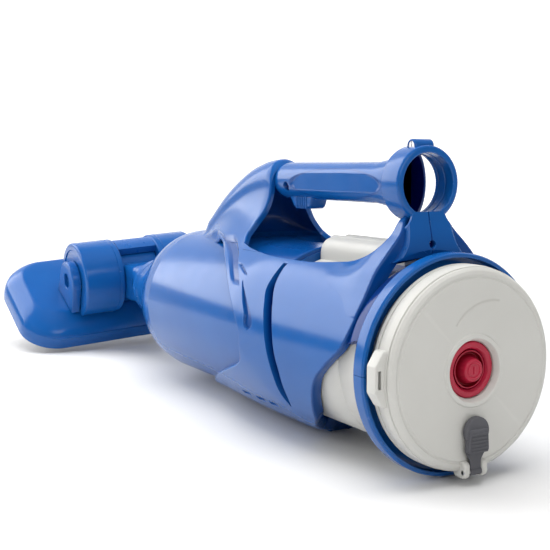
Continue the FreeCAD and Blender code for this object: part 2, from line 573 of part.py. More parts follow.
# ---- nose ---------------------------------------------------------------------------------------------------
def nose_cone():
    """Nose: straight rear barrel that twists in the shells, dome and snout."""
    bore_r = SPIGOT_R + SPIGOT_PLAY
    outer = [(NOSE_STRAIGHT_Y, NOSE_R)] + [(y, SNOUT_R + (NOSE_R - SNOUT_R) * share) for y, share in DOME]
    outer.append((474, SNOUT_R))
    dome = turned_smooth(outer, [(SNOUT_Y1, SNOUT_R), (SNOUT_Y1, 0), (NOSE_STRAIGHT_Y, 0)])
    inner = [(NOSE_STRAIGHT_Y - 4, NOSE_R - WALL)]
    inner += [(y, bore_r + (NOSE_R - WALL - bore_r) * share) for y, share in DOME_ROOM] + [(470, bore_r)]
    room = turned_smooth(inner, [(SNOUT_Y1 + 1, bore_r), (SNOUT_Y1 + 1, 0), (NOSE_STRAIGHT_Y - 4, 0)])
    skirt = tube_y(NOSE_R, NOSE_R - WALL, NOSE_Y0, NOSE_STRAIGHT_Y)
    cone = fuse(skirt, dome.cut(room))
    return cone.cut(rod_x(FLAP_PIN_R, -16, 16, y=FLAP_Y, z=FLAP_PIN_Z))


def nose_fittings():
    """Filter ring and bag inside the nose."""
    made = {}
    ring_r = NOSE_R - WALL - FILTER_PLAY
    spigot_r = ring_r - FILTER_RIM
    made["filter_ring"] = turned([(186, spigot_r - FILTER_WALL), (186, ring_r), (190, ring_r), (190, spigot_r),
                                  (196, spigot_r), (196, spigot_r - FILTER_WALL)])
    mouth_r = spigot_r + BAG_PLAY
    outside = [(190.2, mouth_r), (215, mouth_r * 1.0551), (270, mouth_r * 1.0741), (330, mouth_r * 1.0266),
               (372, mouth_r * 0.8935), (392, mouth_r * 0.7224), (398, mouth_r * 0.5323)]
    inside = [(398, mouth_r * 0.4753), (390, mouth_r * 0.6939), (371, mouth_r * 0.865), (330, mouth_r * 0.9981),
              (270, mouth_r * 1.0456), (215, mouth_r * 1.0266), (197, mouth_r)]
    bag = turned_smooth(outside, inside)
    made["filter_bag"] = bag
    made["flapper_pin"] = rod_x(FLAP_PIN_R, -16, 16, y=FLAP_Y, z=FLAP_PIN_Z)
    return made


def flapper():
    """One-way flap behind the snout, hung from its pin."""
    disc = rod_y(20.5, FLAP_Y + 4.5, FLAP_Y + 6.5, z=-1.0)
    arm = block(-4, 4, FLAP_Y, FLAP_Y + 5.5, 15, FLAP_PIN_Z)
    arm = arm.cut(block(-5, 5, FLAP_Y - 1, FLAP_Y + 4, 14, FLAP_PIN_Z - 3))
    eye = rod_x(2.8, -4, 4, y=FLAP_Y, z=FLAP_PIN_Z)
    return fuse(disc, arm, eye).cut(rod_x(FLAP_PIN_R + PIN_GAP, -10, 10, y=FLAP_Y, z=FLAP_PIN_Z))


# ---- neck ---------------------------------------------------------------------------------------------------
def neck():
    """Elbow duct: round spigot behind, square duct, and a cross drum between the head's two drums."""
    w, inside_w = NECK_HALF_W, NECK_HALF_W - 4.5
    low_z, top_z = PIVOT.z + NECK_LOW_Z, PIVOT.z + NECK_TOP_Z
    spigot = rod_y(SPIGOT_R, 472, 502)
    collar = rod_y(29.4, 490.4, 497)
    duct = block(-w, w, 512, PIVOT.y, low_z, top_z)
    duct = duct.makeFillet(5, [e for e in duct.Edges if abs(e.tangentAt(e.FirstParameter).y) > 0.9])
    blend = rod_y(26.0, 497, 516)
    drum = rod_x(NECK_DRUM_R, -w, w, y=PIVOT.y, z=PIVOT.z)
    solid = fuse(spigot, collar, blend, duct, drum)
    bore = rod_y(DUCT_R, 460, 517)
    bore = bore.fuse(block(-inside_w, inside_w, 514, PIVOT.y, low_z + 4, top_z - 4))
    bore = bore.fuse(rod_x(NECK_DRUM_R - 4, -inside_w, inside_w, y=PIVOT.y, z=PIVOT.z))
    port = block(-inside_w, inside_w, PIVOT.y - 14, PIVOT.y + 24, PIVOT.z - 40, PIVOT.z - 5)
    axle = rod_x(PIVOT_PIN_R + PIN_GAP, -30, 30, y=PIVOT.y, z=PIVOT.z)
    return roll(solid.cut(bore).cut(port).cut(axle))


# ---- head ---------------------------------------------------------------------------------------------------
def plate_solid(grow=0.0, lift=0.0):
    """Pillow-shaped plate of the head, from its foot to its flat top; grow and lift give its hollow."""
    low = rounded_slab(PLATE_HALF_W + grow, PLATE_Y0 - grow, PLATE_Y1 + grow, PLATE_BOTTOM_Z, 40 + grow)
    middle = rounded_slab(PLATE_HALF_W - 1 + grow, PLATE_Y0 + 1.5 - grow, PLATE_Y1 - 1 + grow,
                          PLATE_BOTTOM_Z + 11, 39 + grow)
    high = rounded_slab(PLATE_HALF_W - 7 + grow, PLATE_Y0 + 11 - grow, PLATE_Y1 - 5 + grow,
                        PLATE_TOP_Z - 8 + lift, 36 + grow)
    top = rounded_slab(PLATE_HALF_W - 17 + grow, PLATE_Y0 + 24 - grow, PLATE_Y1 - 12 + grow,
                       PLATE_TOP_Z + lift, 30 + grow)
    return Part.makeLoft([low, middle], True, True).fuse(
        [Part.makeLoft([middle, high], True, True), Part.makeLoft([high, top], True, True)]).removeSplitter()


def head_pieces():
    """Every fixed piece of the head, in the head's own axes."""
    made = {}
    hollow = plate_solid(-WALL, -WALL).common(block(-BIG, BIG, -BIG, BIG, PLATE_BOTTOM_Z - 1, 0))
    top = plate_solid().cut(hollow)
    throat = block(-17, 17, -20, 26, -40, 0)
    frame = block(-20, 20, -23, 29, -34, PLATE_TOP_Z - 1)
    top = fuse(top, frame).cut(throat)
    top = top.cut(rod_x(NECK_DRUM_R + 1, -NECK_HALF_W - 0.6, NECK_HALF_W + 0.6))
    made["head_top"] = top
    base = Part.Face(rounded_slab(PLATE_HALF_W - 4, PLATE_Y0 + 4.5, PLATE_Y1 - 4, PLATE_BOTTOM_Z + 1, 36))
    base = base.extrude(V(0, 0, 3))
    base = base.cut(block(-62, 62, 4, 40, -70, -40))
    for side in (-1, 1):
        for y in ROLLER_YS:
            base = base.cut(block(side * ROLLER_X - 8, side * ROLLER_X + 8, y - 10, y + 10, -70, -40))
    made["head_base"] = base
    for name, side in (("left", -1), ("right", 1)):
        x0, x1 = sorted((side * DRUM_X0, side * DRUM_X1))
        drum = rod_x(DRUM_R, x0, x1)
        drum = drum.makeFillet(2.5, [e for e in drum.Edges if e.Length > 200])
        drum = drum.cut(block(-BIG, BIG, -BIG, BIG, -BIG, PLATE_TOP_Z + 0.05))
        room = rod_x(DRUM_R - WALL, x0 + WALL, x1 - WALL).cut(rod_x(9, x0, x1))
        room = room.cut(block(-BIG, BIG, -BIG, BIG, -BIG, PLATE_TOP_Z + WALL))
        made[f"{name}_drum"] = drum.cut(room).cut(rod_x(PIVOT_PIN_R, x0 - 1, x1 + 1))
        e0, e1 = sorted((side * (DRUM_X1 + 0.05), side * EAR_X1))
        ear = fuse(rod_x(21, e0, e1), block(e0, e1, -21, 21, PLATE_TOP_Z + 0.05, 0))
        made[f"{name}_ear"] = ear.cut(rod_x(8.2, e0 - 1, e1 + 1))
        p0, p1 = sorted((side * (NECK_HALF_W - 4.4), side * (DRUM_X1 - 1)))
        made[f"{name}_pivot_pin"] = rod_x(PIVOT_PIN_R, p0, p1)
        c0, c1 = sorted((side * (DRUM_X1 + 0.1), side * (EAR_X1 - 3.5)))
        made[f"{name}_pivot_cap"] = rod_x(8.1, c0, c1)
    bridge = rod_x(DRUM_R - 1, -DRUM_X0 + 0.05, DRUM_X0 - 0.05).cut(rod_x(NECK_DRUM_R + 1.2, -40, 40))
    made["drum_bridge"] = bridge.common(block(-BIG, BIG, BRIDGE_Y0, BRIDGE_Y1, 0, BIG))
    for name, y in (("front_brush", 74.0), ("rear_brush", -30.0)):
        strip = block(-78, 78, y - 4, y + 4, PLATE_BOTTOM_Z - 3, PLATE_BOTTOM_Z + 0.95)
        tufts = block(-75, 75, y - 2.2, y + 2.2, PLATE_BOTTOM_Z - 9, PLATE_BOTTOM_Z - 3)
        made[name] = fuse(strip, tufts)
    for name, y in (("front_axle", ROLLER_YS[1]), ("rear_axle", ROLLER_YS[0])):
        made[name] = rod_x(2.0, -ROLLER_X - 10, ROLLER_X + 10, y=y, z=ROLLER_Z)
    return made


def rollers():
    """Four free rollers under the corners of the head."""
    made = {}
    for x_name, side in (("left", -1), ("right", 1)):
        for y_name, y in (("rear", ROLLER_YS[0]), ("front", ROLLER_YS[1])):
            wheel = rod_x(ROLLER_R, side * ROLLER_X - 6, side * ROLLER_X + 6, y=y, z=ROLLER_Z)
            wheel = wheel.makeFillet(1.2, [e for e in wheel.Edges if e.Length > 30])
            hole = rod_x(2.0 + PIN_GAP, side * ROLLER_X - 9, side * ROLLER_X + 9, y=y, z=ROLLER_Z)
            made[f"{y_name}_{x_name}_roller"] = wheel.cut(hole)
    return made


# ---- fasteners ----------------------------------------------------------------------------------------------
def fasteners():
    """Visible screws and pins of the body."""
    made = {}
    y, z = RING_SCREW_Y, RING_SCREW_Z
    screw = fuse(rod_x(3.1, -7.4, -5.4, y=y, z=z), rod_x(1.65, -5.5, 7.2, y=y, z=z))
    made["ring_screw"] = screw.cut(block(-8, -6.6, y - 0.4, y + 0.4, z - 5, z + 5))
    made["ring_nut"] = rod_x(3.0, 5.45, 7.4, y=y, z=z).cut(rod_x(1.65, 5, 8, y=y, z=z))
    made["post_screw"] = rod_y(2.3, 47.2, 52.3, z=POST_SCREW_Z)
    made["grip_pin"] = rod_x(3.3, -9.0, 9.0, y=GRIP_PIN_Y, z=GRIP_PIN_Z)
    return made


def build():
    """All solids in the body's axes, by node name."""
    made = {}
    made.update(shells())
    made.update(pole_ring_halves())
    made.update(grips())
    made["grip_lug"] = grip_lug()
    made["motor_housing"] = motor_housing()
    made["end_cap"] = end_cap()
    made["charge_plug"] = charge_plug()
    made["power_button"] = power_button()
    made.update(rear_fittings())
    made.update(collars())
    made.update(battery())
    made.update(drive())
    made["nose_cone"] = nose_cone()
    made.update(nose_fittings())
    made["flapper_valve"] = flapper()
    made["neck"] = neck()
    for name, shape in {**head_pieces(), **rollers()}.items():
        made[name] = head_place(shape)
    made.update(fasteners())
    return made


def main():
    """Build, move the origin to the bottom centre and write one STEP file per piece."""
    os.makedirs("parts", exist_ok=True)
    made = build()
    whole = Part.makeCompound(list(made.values())).optimalBoundingBox(True, False)
    shift = V(-(whole.XMin + whole.XMax) / 2, -(whole.YMin + whole.YMax) / 2, -whole.ZMin)
    print("shift", [round(c, 4) for c in shift], "size", [round(c, 2) for c in (
        whole.XLength, whole.YLength, whole.ZLength)])
    for name, shape in made.items():
        if len(shape.Solids) != 1 or not shape.isValid():
            print("check", name, "solids", len(shape.Solids), "valid", shape.isValid())
        moved = shape.copy()
        moved.translate(shift)
        moved.exportStep(os.path.join("parts", name + ".step"))
    print(len(made), "nodes")


main()
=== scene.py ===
"""Looks of a cordless handheld pool vacuum: a blue barrel with a pole handle, a white motor can and a tilting head.

Every size is in millimetres in the body's own axes: +Y runs forward along the barrel from the rear face of the
cap, +Z is up, +X is to the right, and the barrel's centre line is x = z = 0.  Axes.place turns them into metres
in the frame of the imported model.
"""

import json
import logging
import math
from dataclasses import dataclass, field
from enum import Enum

import bmesh
import bpy
import numpy as np
from mathutils import Matrix, Vector


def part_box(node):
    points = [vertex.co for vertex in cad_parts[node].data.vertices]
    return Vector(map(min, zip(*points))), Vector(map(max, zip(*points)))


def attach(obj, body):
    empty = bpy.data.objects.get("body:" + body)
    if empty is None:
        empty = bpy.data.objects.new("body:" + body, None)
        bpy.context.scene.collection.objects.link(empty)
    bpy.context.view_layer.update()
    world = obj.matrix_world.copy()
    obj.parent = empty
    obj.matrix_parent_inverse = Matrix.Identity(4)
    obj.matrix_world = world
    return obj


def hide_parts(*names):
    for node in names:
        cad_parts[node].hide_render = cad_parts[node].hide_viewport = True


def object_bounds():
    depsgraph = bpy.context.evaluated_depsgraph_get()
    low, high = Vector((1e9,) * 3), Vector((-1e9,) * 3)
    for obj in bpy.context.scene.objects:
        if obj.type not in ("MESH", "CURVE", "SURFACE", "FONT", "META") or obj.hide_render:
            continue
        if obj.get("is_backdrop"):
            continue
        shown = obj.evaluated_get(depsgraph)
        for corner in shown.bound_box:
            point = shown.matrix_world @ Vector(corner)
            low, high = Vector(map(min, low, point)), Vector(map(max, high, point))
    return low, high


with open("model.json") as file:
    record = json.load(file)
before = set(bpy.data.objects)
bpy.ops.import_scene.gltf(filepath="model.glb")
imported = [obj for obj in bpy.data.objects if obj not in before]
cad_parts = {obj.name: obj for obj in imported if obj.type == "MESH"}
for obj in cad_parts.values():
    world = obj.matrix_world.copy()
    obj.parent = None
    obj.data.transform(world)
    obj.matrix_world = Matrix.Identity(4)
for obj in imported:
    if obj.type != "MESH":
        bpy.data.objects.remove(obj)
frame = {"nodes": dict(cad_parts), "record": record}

log = logging.getLogger("pool_vacuum")
WELD = 2e-6  # metres within which points of one piece are joined


# ---- measuring ----------------------------------------------------------------------------------------------
@dataclass(frozen=True)
class Axes:
    """The body's own axes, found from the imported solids.

    Args:
        origin: the centre of the cap's rear face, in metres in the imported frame.
    """

    origin: tuple[float, float, float]

    @classmethod
    def found(cls) -> "Axes":
        """Take the centre line from the motor shaft and the rear face from the clamp collar.

        Returns:
            The axes of the body.
        """
        low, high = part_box("motor_shaft")
        collar_low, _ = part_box("collar_upper")
        return cls(((low.x + high.x) / 2, collar_low.y - COLLAR_Y0 / 1000, (low.z + high.z) / 2))

    def place(self, points: np.ndarray) -> np.ndarray:
        """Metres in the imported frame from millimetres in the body's axes.

        Args:
            points: an array of (..., 3) points in millimetres.
        Returns:
            The same array in metres.
        """
        return np.asarray(self.origin) + np.asarray(points, float) / 1000.0


COLLAR_Y0 = 17.8
PIVOT = np.array([0.0, 573.0, 8.0])
HEAD_PITCH = math.radians(30.0)
HEAD_ROLL = math.radians(4.0)
NOSE_R = 64.4
NOSE_LIFT = 3.2


def turn_about_x(points: np.ndarray, angle: float) -> np.ndarray:
    """Points turned about the X axis: y and z are mixed by the cosine and sine of the angle."""
    c, s = math.cos(angle), math.sin(angle)
    x, y, z = np.moveaxis(np.asarray(points, float), -1, 0)
    return np.stack([x, c * y - s * z, s * y + c * z], -1)


def rolled(points: np.ndarray) -> np.ndarray:
    """Points of the neck or head turned about the barrel's centre line to their resting roll."""
    c, s = math.cos(HEAD_ROLL), math.sin(HEAD_ROLL)
    x, y, z = np.moveaxis(np.asarray(points, float), -1, 0)
    return np.stack([c * x - s * z, y, s * x + c * z], -1)


def head_placed(points: np.ndarray) -> np.ndarray:
    """Points in the head's own axes carried to the neck: pitched, moved to the pivot, then rolled."""
    return rolled(turn_about_x(points, HEAD_PITCH) + PIVOT)


def smooth_step(low: float, high: float, value: np.ndarray) -> np.ndarray:
    """Zero below low, one above high, and the cubic 3t^2 - 2t^3 between."""
    t = np.clip((np.asarray(value, float) - low) / (high - low), 0.0, 1.0)
    return t * t * (3.0 - 2.0 * t)


def smooth_curve(knots: np.ndarray, values: np.ndarray, at: np.ndarray) -> np.ndarray:
    """Monotone cubic through knots: Hermite pieces whose slopes are the harmonic mean of their neighbours'."""
    knots, values, at = (np.asarray(a, float) for a in (knots, values, at))
    rise = np.diff(values) / np.diff(knots)
    same = rise[:-1] * rise[1:] > 0
    middle = np.where(same, 2 * rise[:-1] * rise[1:] / np.where(same, rise[:-1] + rise[1:], 1.0), 0.0)
    slope = np.concatenate([rise[:1], middle, rise[-1:]])
    at = np.clip(at, knots[0], knots[-1])
    k = np.clip(np.searchsorted(knots, at, side="right") - 1, 0, len(knots) - 2)
    h = knots[k + 1] - knots[k]
    t = (at - knots[k]) / h
    return ((2 * t**3 - 3 * t**2 + 1) * values[k] + (t**3 - 2 * t**2 + t) * h * slope[k]
            + (3 * t**2 - 2 * t**3) * values[k + 1] + (t**3 - t**2) * h * slope[k + 1])


def filleted(corners: list[tuple[float, float, float]], closed: bool = False, steps: int = 6) -> np.ndarray:
    """Polyline with round corners.

    Each corner (a, b, radius) is replaced by a quadratic arc between the two points that lie the radius' worth
    of tangent length away along its sides.

    Args:
        corners: (a, b, radius) of each corner; radius 0 keeps it sharp.
        closed: whether the line runs back to its start.
        steps: pieces in each round corner.
    Returns:
        An array of (a, b) points.
    """
    out = []
    count = len(corners)
    for i, (a, b, radius) in enumerate(corners):
        here = np.array([a, b])
        if radius <= 0 or (not closed and i in (0, count - 1)):
            out.append(here[None])
            continue
        before, after = (np.array(corners[(i + k) % count][:2]) - here for k in (-1, 1))
        lengths = [np.linalg.norm(before), np.linalg.norm(after)]
        before, after = before / lengths[0], after / lengths[1]
        half = math.acos(float(np.clip(before @ after, -1, 1))) / 2
        reach = min(radius / max(math.tan(half), 1e-6), 0.49 * lengths[0], 0.49 * lengths[1])
        t = np.linspace(0, 1, steps + 1)[:, None]
        start, end = here + before * reach, here + after * reach
        out.append((1 - t) ** 2 * start + 2 * t * (1 - t) * here + t**2 * end)
    return np.vstack(out)


# ---- mesh making --------------------------------------------------------------------------------------------
class Piece:
    """A named piece put together from grids of points, in millimetres in the body's axes."""

    def __init__(self, name: str) -> None:
        """Start an empty piece.

        Args:
            name: the object's name.
        """
        self.name = name
        self.points: list[np.ndarray] = []
        self.faces: list[np.ndarray] = []
        self.slots: list[np.ndarray] = []
        self.marks: list[np.ndarray] = []
        self.count = 0

    def grid(self, points: np.ndarray, around: bool = False, flip: bool = False, slot: int = 0,
             mark: np.ndarray | float = 0.0) -> "Piece":
        """Add a sheet of quads over a grid of points.

        Args:
            points: (rows, columns, 3) points.
            around: join the last column to the first.
            flip: turn the faces over.
            slot: material index of its faces.
            mark: value of the "recess" attribute, which sets the strength of painted shade, one number or one per
                point.
        Returns:
            The piece itself.
        """
        rows, columns = points.shape[:2]
        index = np.arange(rows * columns).reshape(rows, columns) + self.count
        if around:
            index = np.hstack([index, index[:, :1]])
        quads = np.stack([index[:-1, :-1], index[1:, :-1], index[1:, 1:], index[:-1, 1:]], -1).reshape(-1, 4)
        self.points.append(points.reshape(-1, 3))
        self.faces.append(quads[:, ::-1] if flip else quads)
        self.slots.append(np.full(len(quads), slot))
        self.marks.append(np.broadcast_to(np.asarray(mark, float), (rows, columns)).reshape(-1))
        self.count += rows * columns
        return self

    def lathe(self, profile: np.ndarray, centre: tuple[float, float] = (0.0, 0.0), segments: int = 144,
              arc: tuple[float, float] = (0.0, 360.0), slot: int = 0, mark: np.ndarray | float = 0.0) -> "Piece":
        """Add a surface turned about a line along Y.

        A profile point (y, r) at angle a lies at x = r sin a, z = r cos a from the centre line.

        Args:
            profile: (n, 2) points of (y, radius).
            centre: (x, z) of the line.
            segments: steps round the circle.
            arc: first and last angle in degrees from +Z towards +X.
            slot: material index.
            mark: value of the "recess" attribute, which sets the strength of painted shade, one number or one per
                profile point, as a column.
        Returns:
            The piece itself.
        """
        whole = abs(arc[1] - arc[0]) >= 360.0
        a = np.radians(np.linspace(arc[0], arc[1], segments + (0 if whole else 1), endpoint=not whole))
        y, r = profile[:, :1], profile[:, 1:2]
        grid = np.stack([centre[0] + r * np.sin(a), y + 0 * a, centre[1] + r * np.cos(a)], -1)
        return self.grid(grid, around=whole, slot=slot, mark=mark)

    def moved(self, change) -> "Piece":
        """Pass every point gathered so far through a function of an (n, 3) array."""
        self.points = [change(p) for p in self.points]
        return self

    def mirrored(self) -> "Piece":
        """Add the mirror image across x = 0 of everything gathered so far."""
        for points, faces, slots, marks in list(zip(self.points, self.faces, self.slots, self.marks)):
            self.points.append(points * (-1, 1, 1))
            self.faces.append(faces[:, ::-1] + self.count)
            self.slots.append(slots)
            self.marks.append(marks)
        self.count *= 2
        return self

    def built(self, axes: Axes, body: str, finishes: list, record_slot: str, stands_for: tuple[str, ...] = (),
              solid: bool = True, sharp: float = 40.0) -> bpy.types.Object:
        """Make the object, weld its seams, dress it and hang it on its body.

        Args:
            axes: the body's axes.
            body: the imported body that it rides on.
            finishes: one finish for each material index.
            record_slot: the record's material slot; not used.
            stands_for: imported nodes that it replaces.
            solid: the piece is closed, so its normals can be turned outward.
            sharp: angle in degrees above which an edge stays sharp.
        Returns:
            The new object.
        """
        mesh = bpy.data.meshes.new(self.name)
        points = axes.place(np.vstack(self.points))
        faces = np.vstack(self.faces)
        mesh.from_pydata(points, [], faces)
        mesh.polygons.foreach_set("material_index", np.concatenate(self.slots).astype(np.int32))
        # the recess attribute: strength of the painted shade at each point
        marks = mesh.attributes.new("recess", "FLOAT", "POINT")
        marks.data.foreach_set("value", np.concatenate(self.marks).astype(np.float32))
        work = bmesh.new()
        work.from_mesh(mesh)
        bmesh.ops.remove_doubles(work, verts=work.verts, dist=WELD)
        bmesh.ops.dissolve_degenerate(work, edges=work.edges, dist=WELD)
        if solid:
            bmesh.ops.recalc_face_normals(work, faces=work.faces)
        work.to_mesh(mesh)
        work.free()
        mesh.shade_smooth()
        mesh.set_sharp_from_angle(angle=math.radians(sharp))
        for finish in finishes:
            mesh.materials.append(finish.material())
        made = bpy.data.objects.new(self.name, mesh)
        bpy.context.scene.collection.objects.link(made)
        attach(made, body)
        if stands_for:
            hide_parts(*stands_for)
        log.info("%s: %d points, %d faces, on %s", self.name, len(mesh.vertices), len(mesh.polygons), body)
        return made


def superellipse(half_a: np.ndarray, half_b: np.ndarray, power: np.ndarray, steps: int) -> tuple[np.ndarray, np.ndarray]:
    """Closed loops |a/A|^n + |b/B|^n = 1, sampled evenly in angle.

    Args:
        half_a: (rows,) half sizes along a.
        half_b: (rows,) half sizes along b.
        power: (rows,) exponents.
        steps: points on each loop.
    Returns:
        The (rows, steps) arrays of a and b.
    """
    t = np.linspace(0, 2 * math.pi, steps, endpoint=False)[None]
    c, s = np.cos(t), np.sin(t)
    n = np.asarray(power, float)[:, None]
    radius = (np.abs(c) ** n + np.abs(s) ** n) ** (-1.0 / n)
    return np.asarray(half_a)[:, None] * radius * c, np.asarray(half_b)[:, None] * radius * s


def rounded_rectangle(half_a: float, low_b: float, high_b: float, radius: float, steps: int = 12) -> np.ndarray:
    """Closed outline of (a, b): straight sides joined by quarter circles of the radius."""
    radius = min(radius, half_a * 0.999, (high_b - low_b) / 2 * 0.999)
    t = np.radians(np.linspace(0, 90, steps + 1))
    out = []
    for i, (ca, cb) in enumerate(((half_a - radius, high_b - radius), (-half_a + radius, high_b - radius),
                                  (-half_a + radius, low_b + radius), (half_a - radius, low_b + radius))):
        turn = t + i * math.pi / 2
        out.append(np.stack([ca + radius * np.cos(turn), cb + radius * np.sin(turn)], -1))
    return np.vstack(out)


def evenly(outline: np.ndarray, count: int) -> np.ndarray:
    """A closed outline resampled to a number of points at equal steps along it."""
    loop = np.vstack([outline, outline[:1]])
    along = np.concatenate([[0], np.cumsum(np.hypot(*np.diff(loop, axis=0).T))])
    at = np.linspace(0, along[-1], count, endpoint=False)
    return np.stack([np.interp(at, along, loop[:, 0]), np.interp(at, along, loop[:, 1])], -1)


def padded_outline(outline: np.ndarray, inset: float) -> np.ndarray:
    """A convex outline moved inward by inset along the mean normal of each point's two sides."""
    before = outline - np.roll(outline, 1, 0)
    after = np.roll(outline, -1, 0) - outline
    side = before / np.maximum(np.linalg.norm(before, axis=1, keepdims=True), 1e-9) + after / np.maximum(
        np.linalg.norm(after, axis=1, keepdims=True), 1e-9)
    side /= np.maximum(np.linalg.norm(side, axis=1, keepdims=True), 1e-9)
    return outline + inset * np.stack([-side[:, 1], side[:, 0]], -1)


def pillow(outline: np.ndarray, low: float, high: float, edge: float, steps: int = 5) -> np.ndarray:
    """Slab over an anticlockwise outline, with rounded upper and lower edges.

    Rows run from the middle of the low face out to its edge, up the side and back to the middle of the high
    face.  On a rounded edge the outline is inset by edge (1 - sin t) while the height moves by edge (1 - cos t).

    Args:
        outline: (n, 2) closed outline.
        low: height of the low face.
        high: height of the high face.
        edge: radius of the rounded edges.
        steps: rows in each rounded edge.
    Returns:
        (rows, n, 3) points of (a, b, height).
    """
    edge = min(edge, (high - low) / 2)
    middle = outline.mean(0)
    t = np.linspace(0, math.pi / 2, steps + 1)
    insets = np.concatenate([edge * (1 - np.sin(t)), edge * (1 - np.cos(t))])
    heights = np.concatenate([low + edge * (1 - np.cos(t)), high - edge * (1 - np.sin(t))])
    rows = [np.column_stack([padded_outline(outline, i), np.full(len(outline), h)]) for i, h in zip(insets, heights)]
    ends = [np.column_stack([np.tile(middle, (len(outline), 1)), np.full(len(outline), h)]) for h in (low, high)]
    return np.stack([ends[0], *rows, ends[1]])


# ---- finishes -----------------------------------------------------------------------------------------------
class Tint(Enum):
    """Colours of the object, as display red, green and blue from 0 to 1."""

    BLUE = (0.045, 0.330, 0.610)
    # painted shade for recesses on the blue pieces, and the far end of their mottling
    MOTTLE_AND_PAINTED_SHADE_BLUE = (0.004, 0.045, 0.350)
    WHITE = (0.770, 0.767, 0.748)
    # painted shade in the cap's arc groove, and the far end of the white pieces' mottling
    WHITE_SHADE = (0.700, 0.695, 0.670)
    CRIMSON = (0.670, 0.045, 0.200)
    # painted shade in the button's well, and the far end of the crimson pieces' mottling
    CRIMSON_SHADE = (0.400, 0.010, 0.050)
    CHARCOAL = (0.135, 0.122, 0.145)
    CHARCOAL_SHADE = (0.070, 0.062, 0.080)
    DARK = (0.120, 0.130, 0.160)
    GREY = (0.380, 0.390, 0.400)
    STEEL = (0.800, 0.795, 0.780)
    CELL = (0.330, 0.520, 0.380)
    NYLON = (0.860, 0.855, 0.820)
    BRISTLE = (0.140, 0.230, 0.480)
    CLOTH = (0.850, 0.860, 0.850)
    PAPER = (0.870, 0.870, 0.870)

    @property
    def linear(self) -> tuple[float, float, float, float]:
        """The colour in scene-linear light, with full opacity."""
        return (*(((c + 0.055) / 1.055) ** 2.4 if c > 0.04045 else c / 12.92 for c in self.value), 1.0)


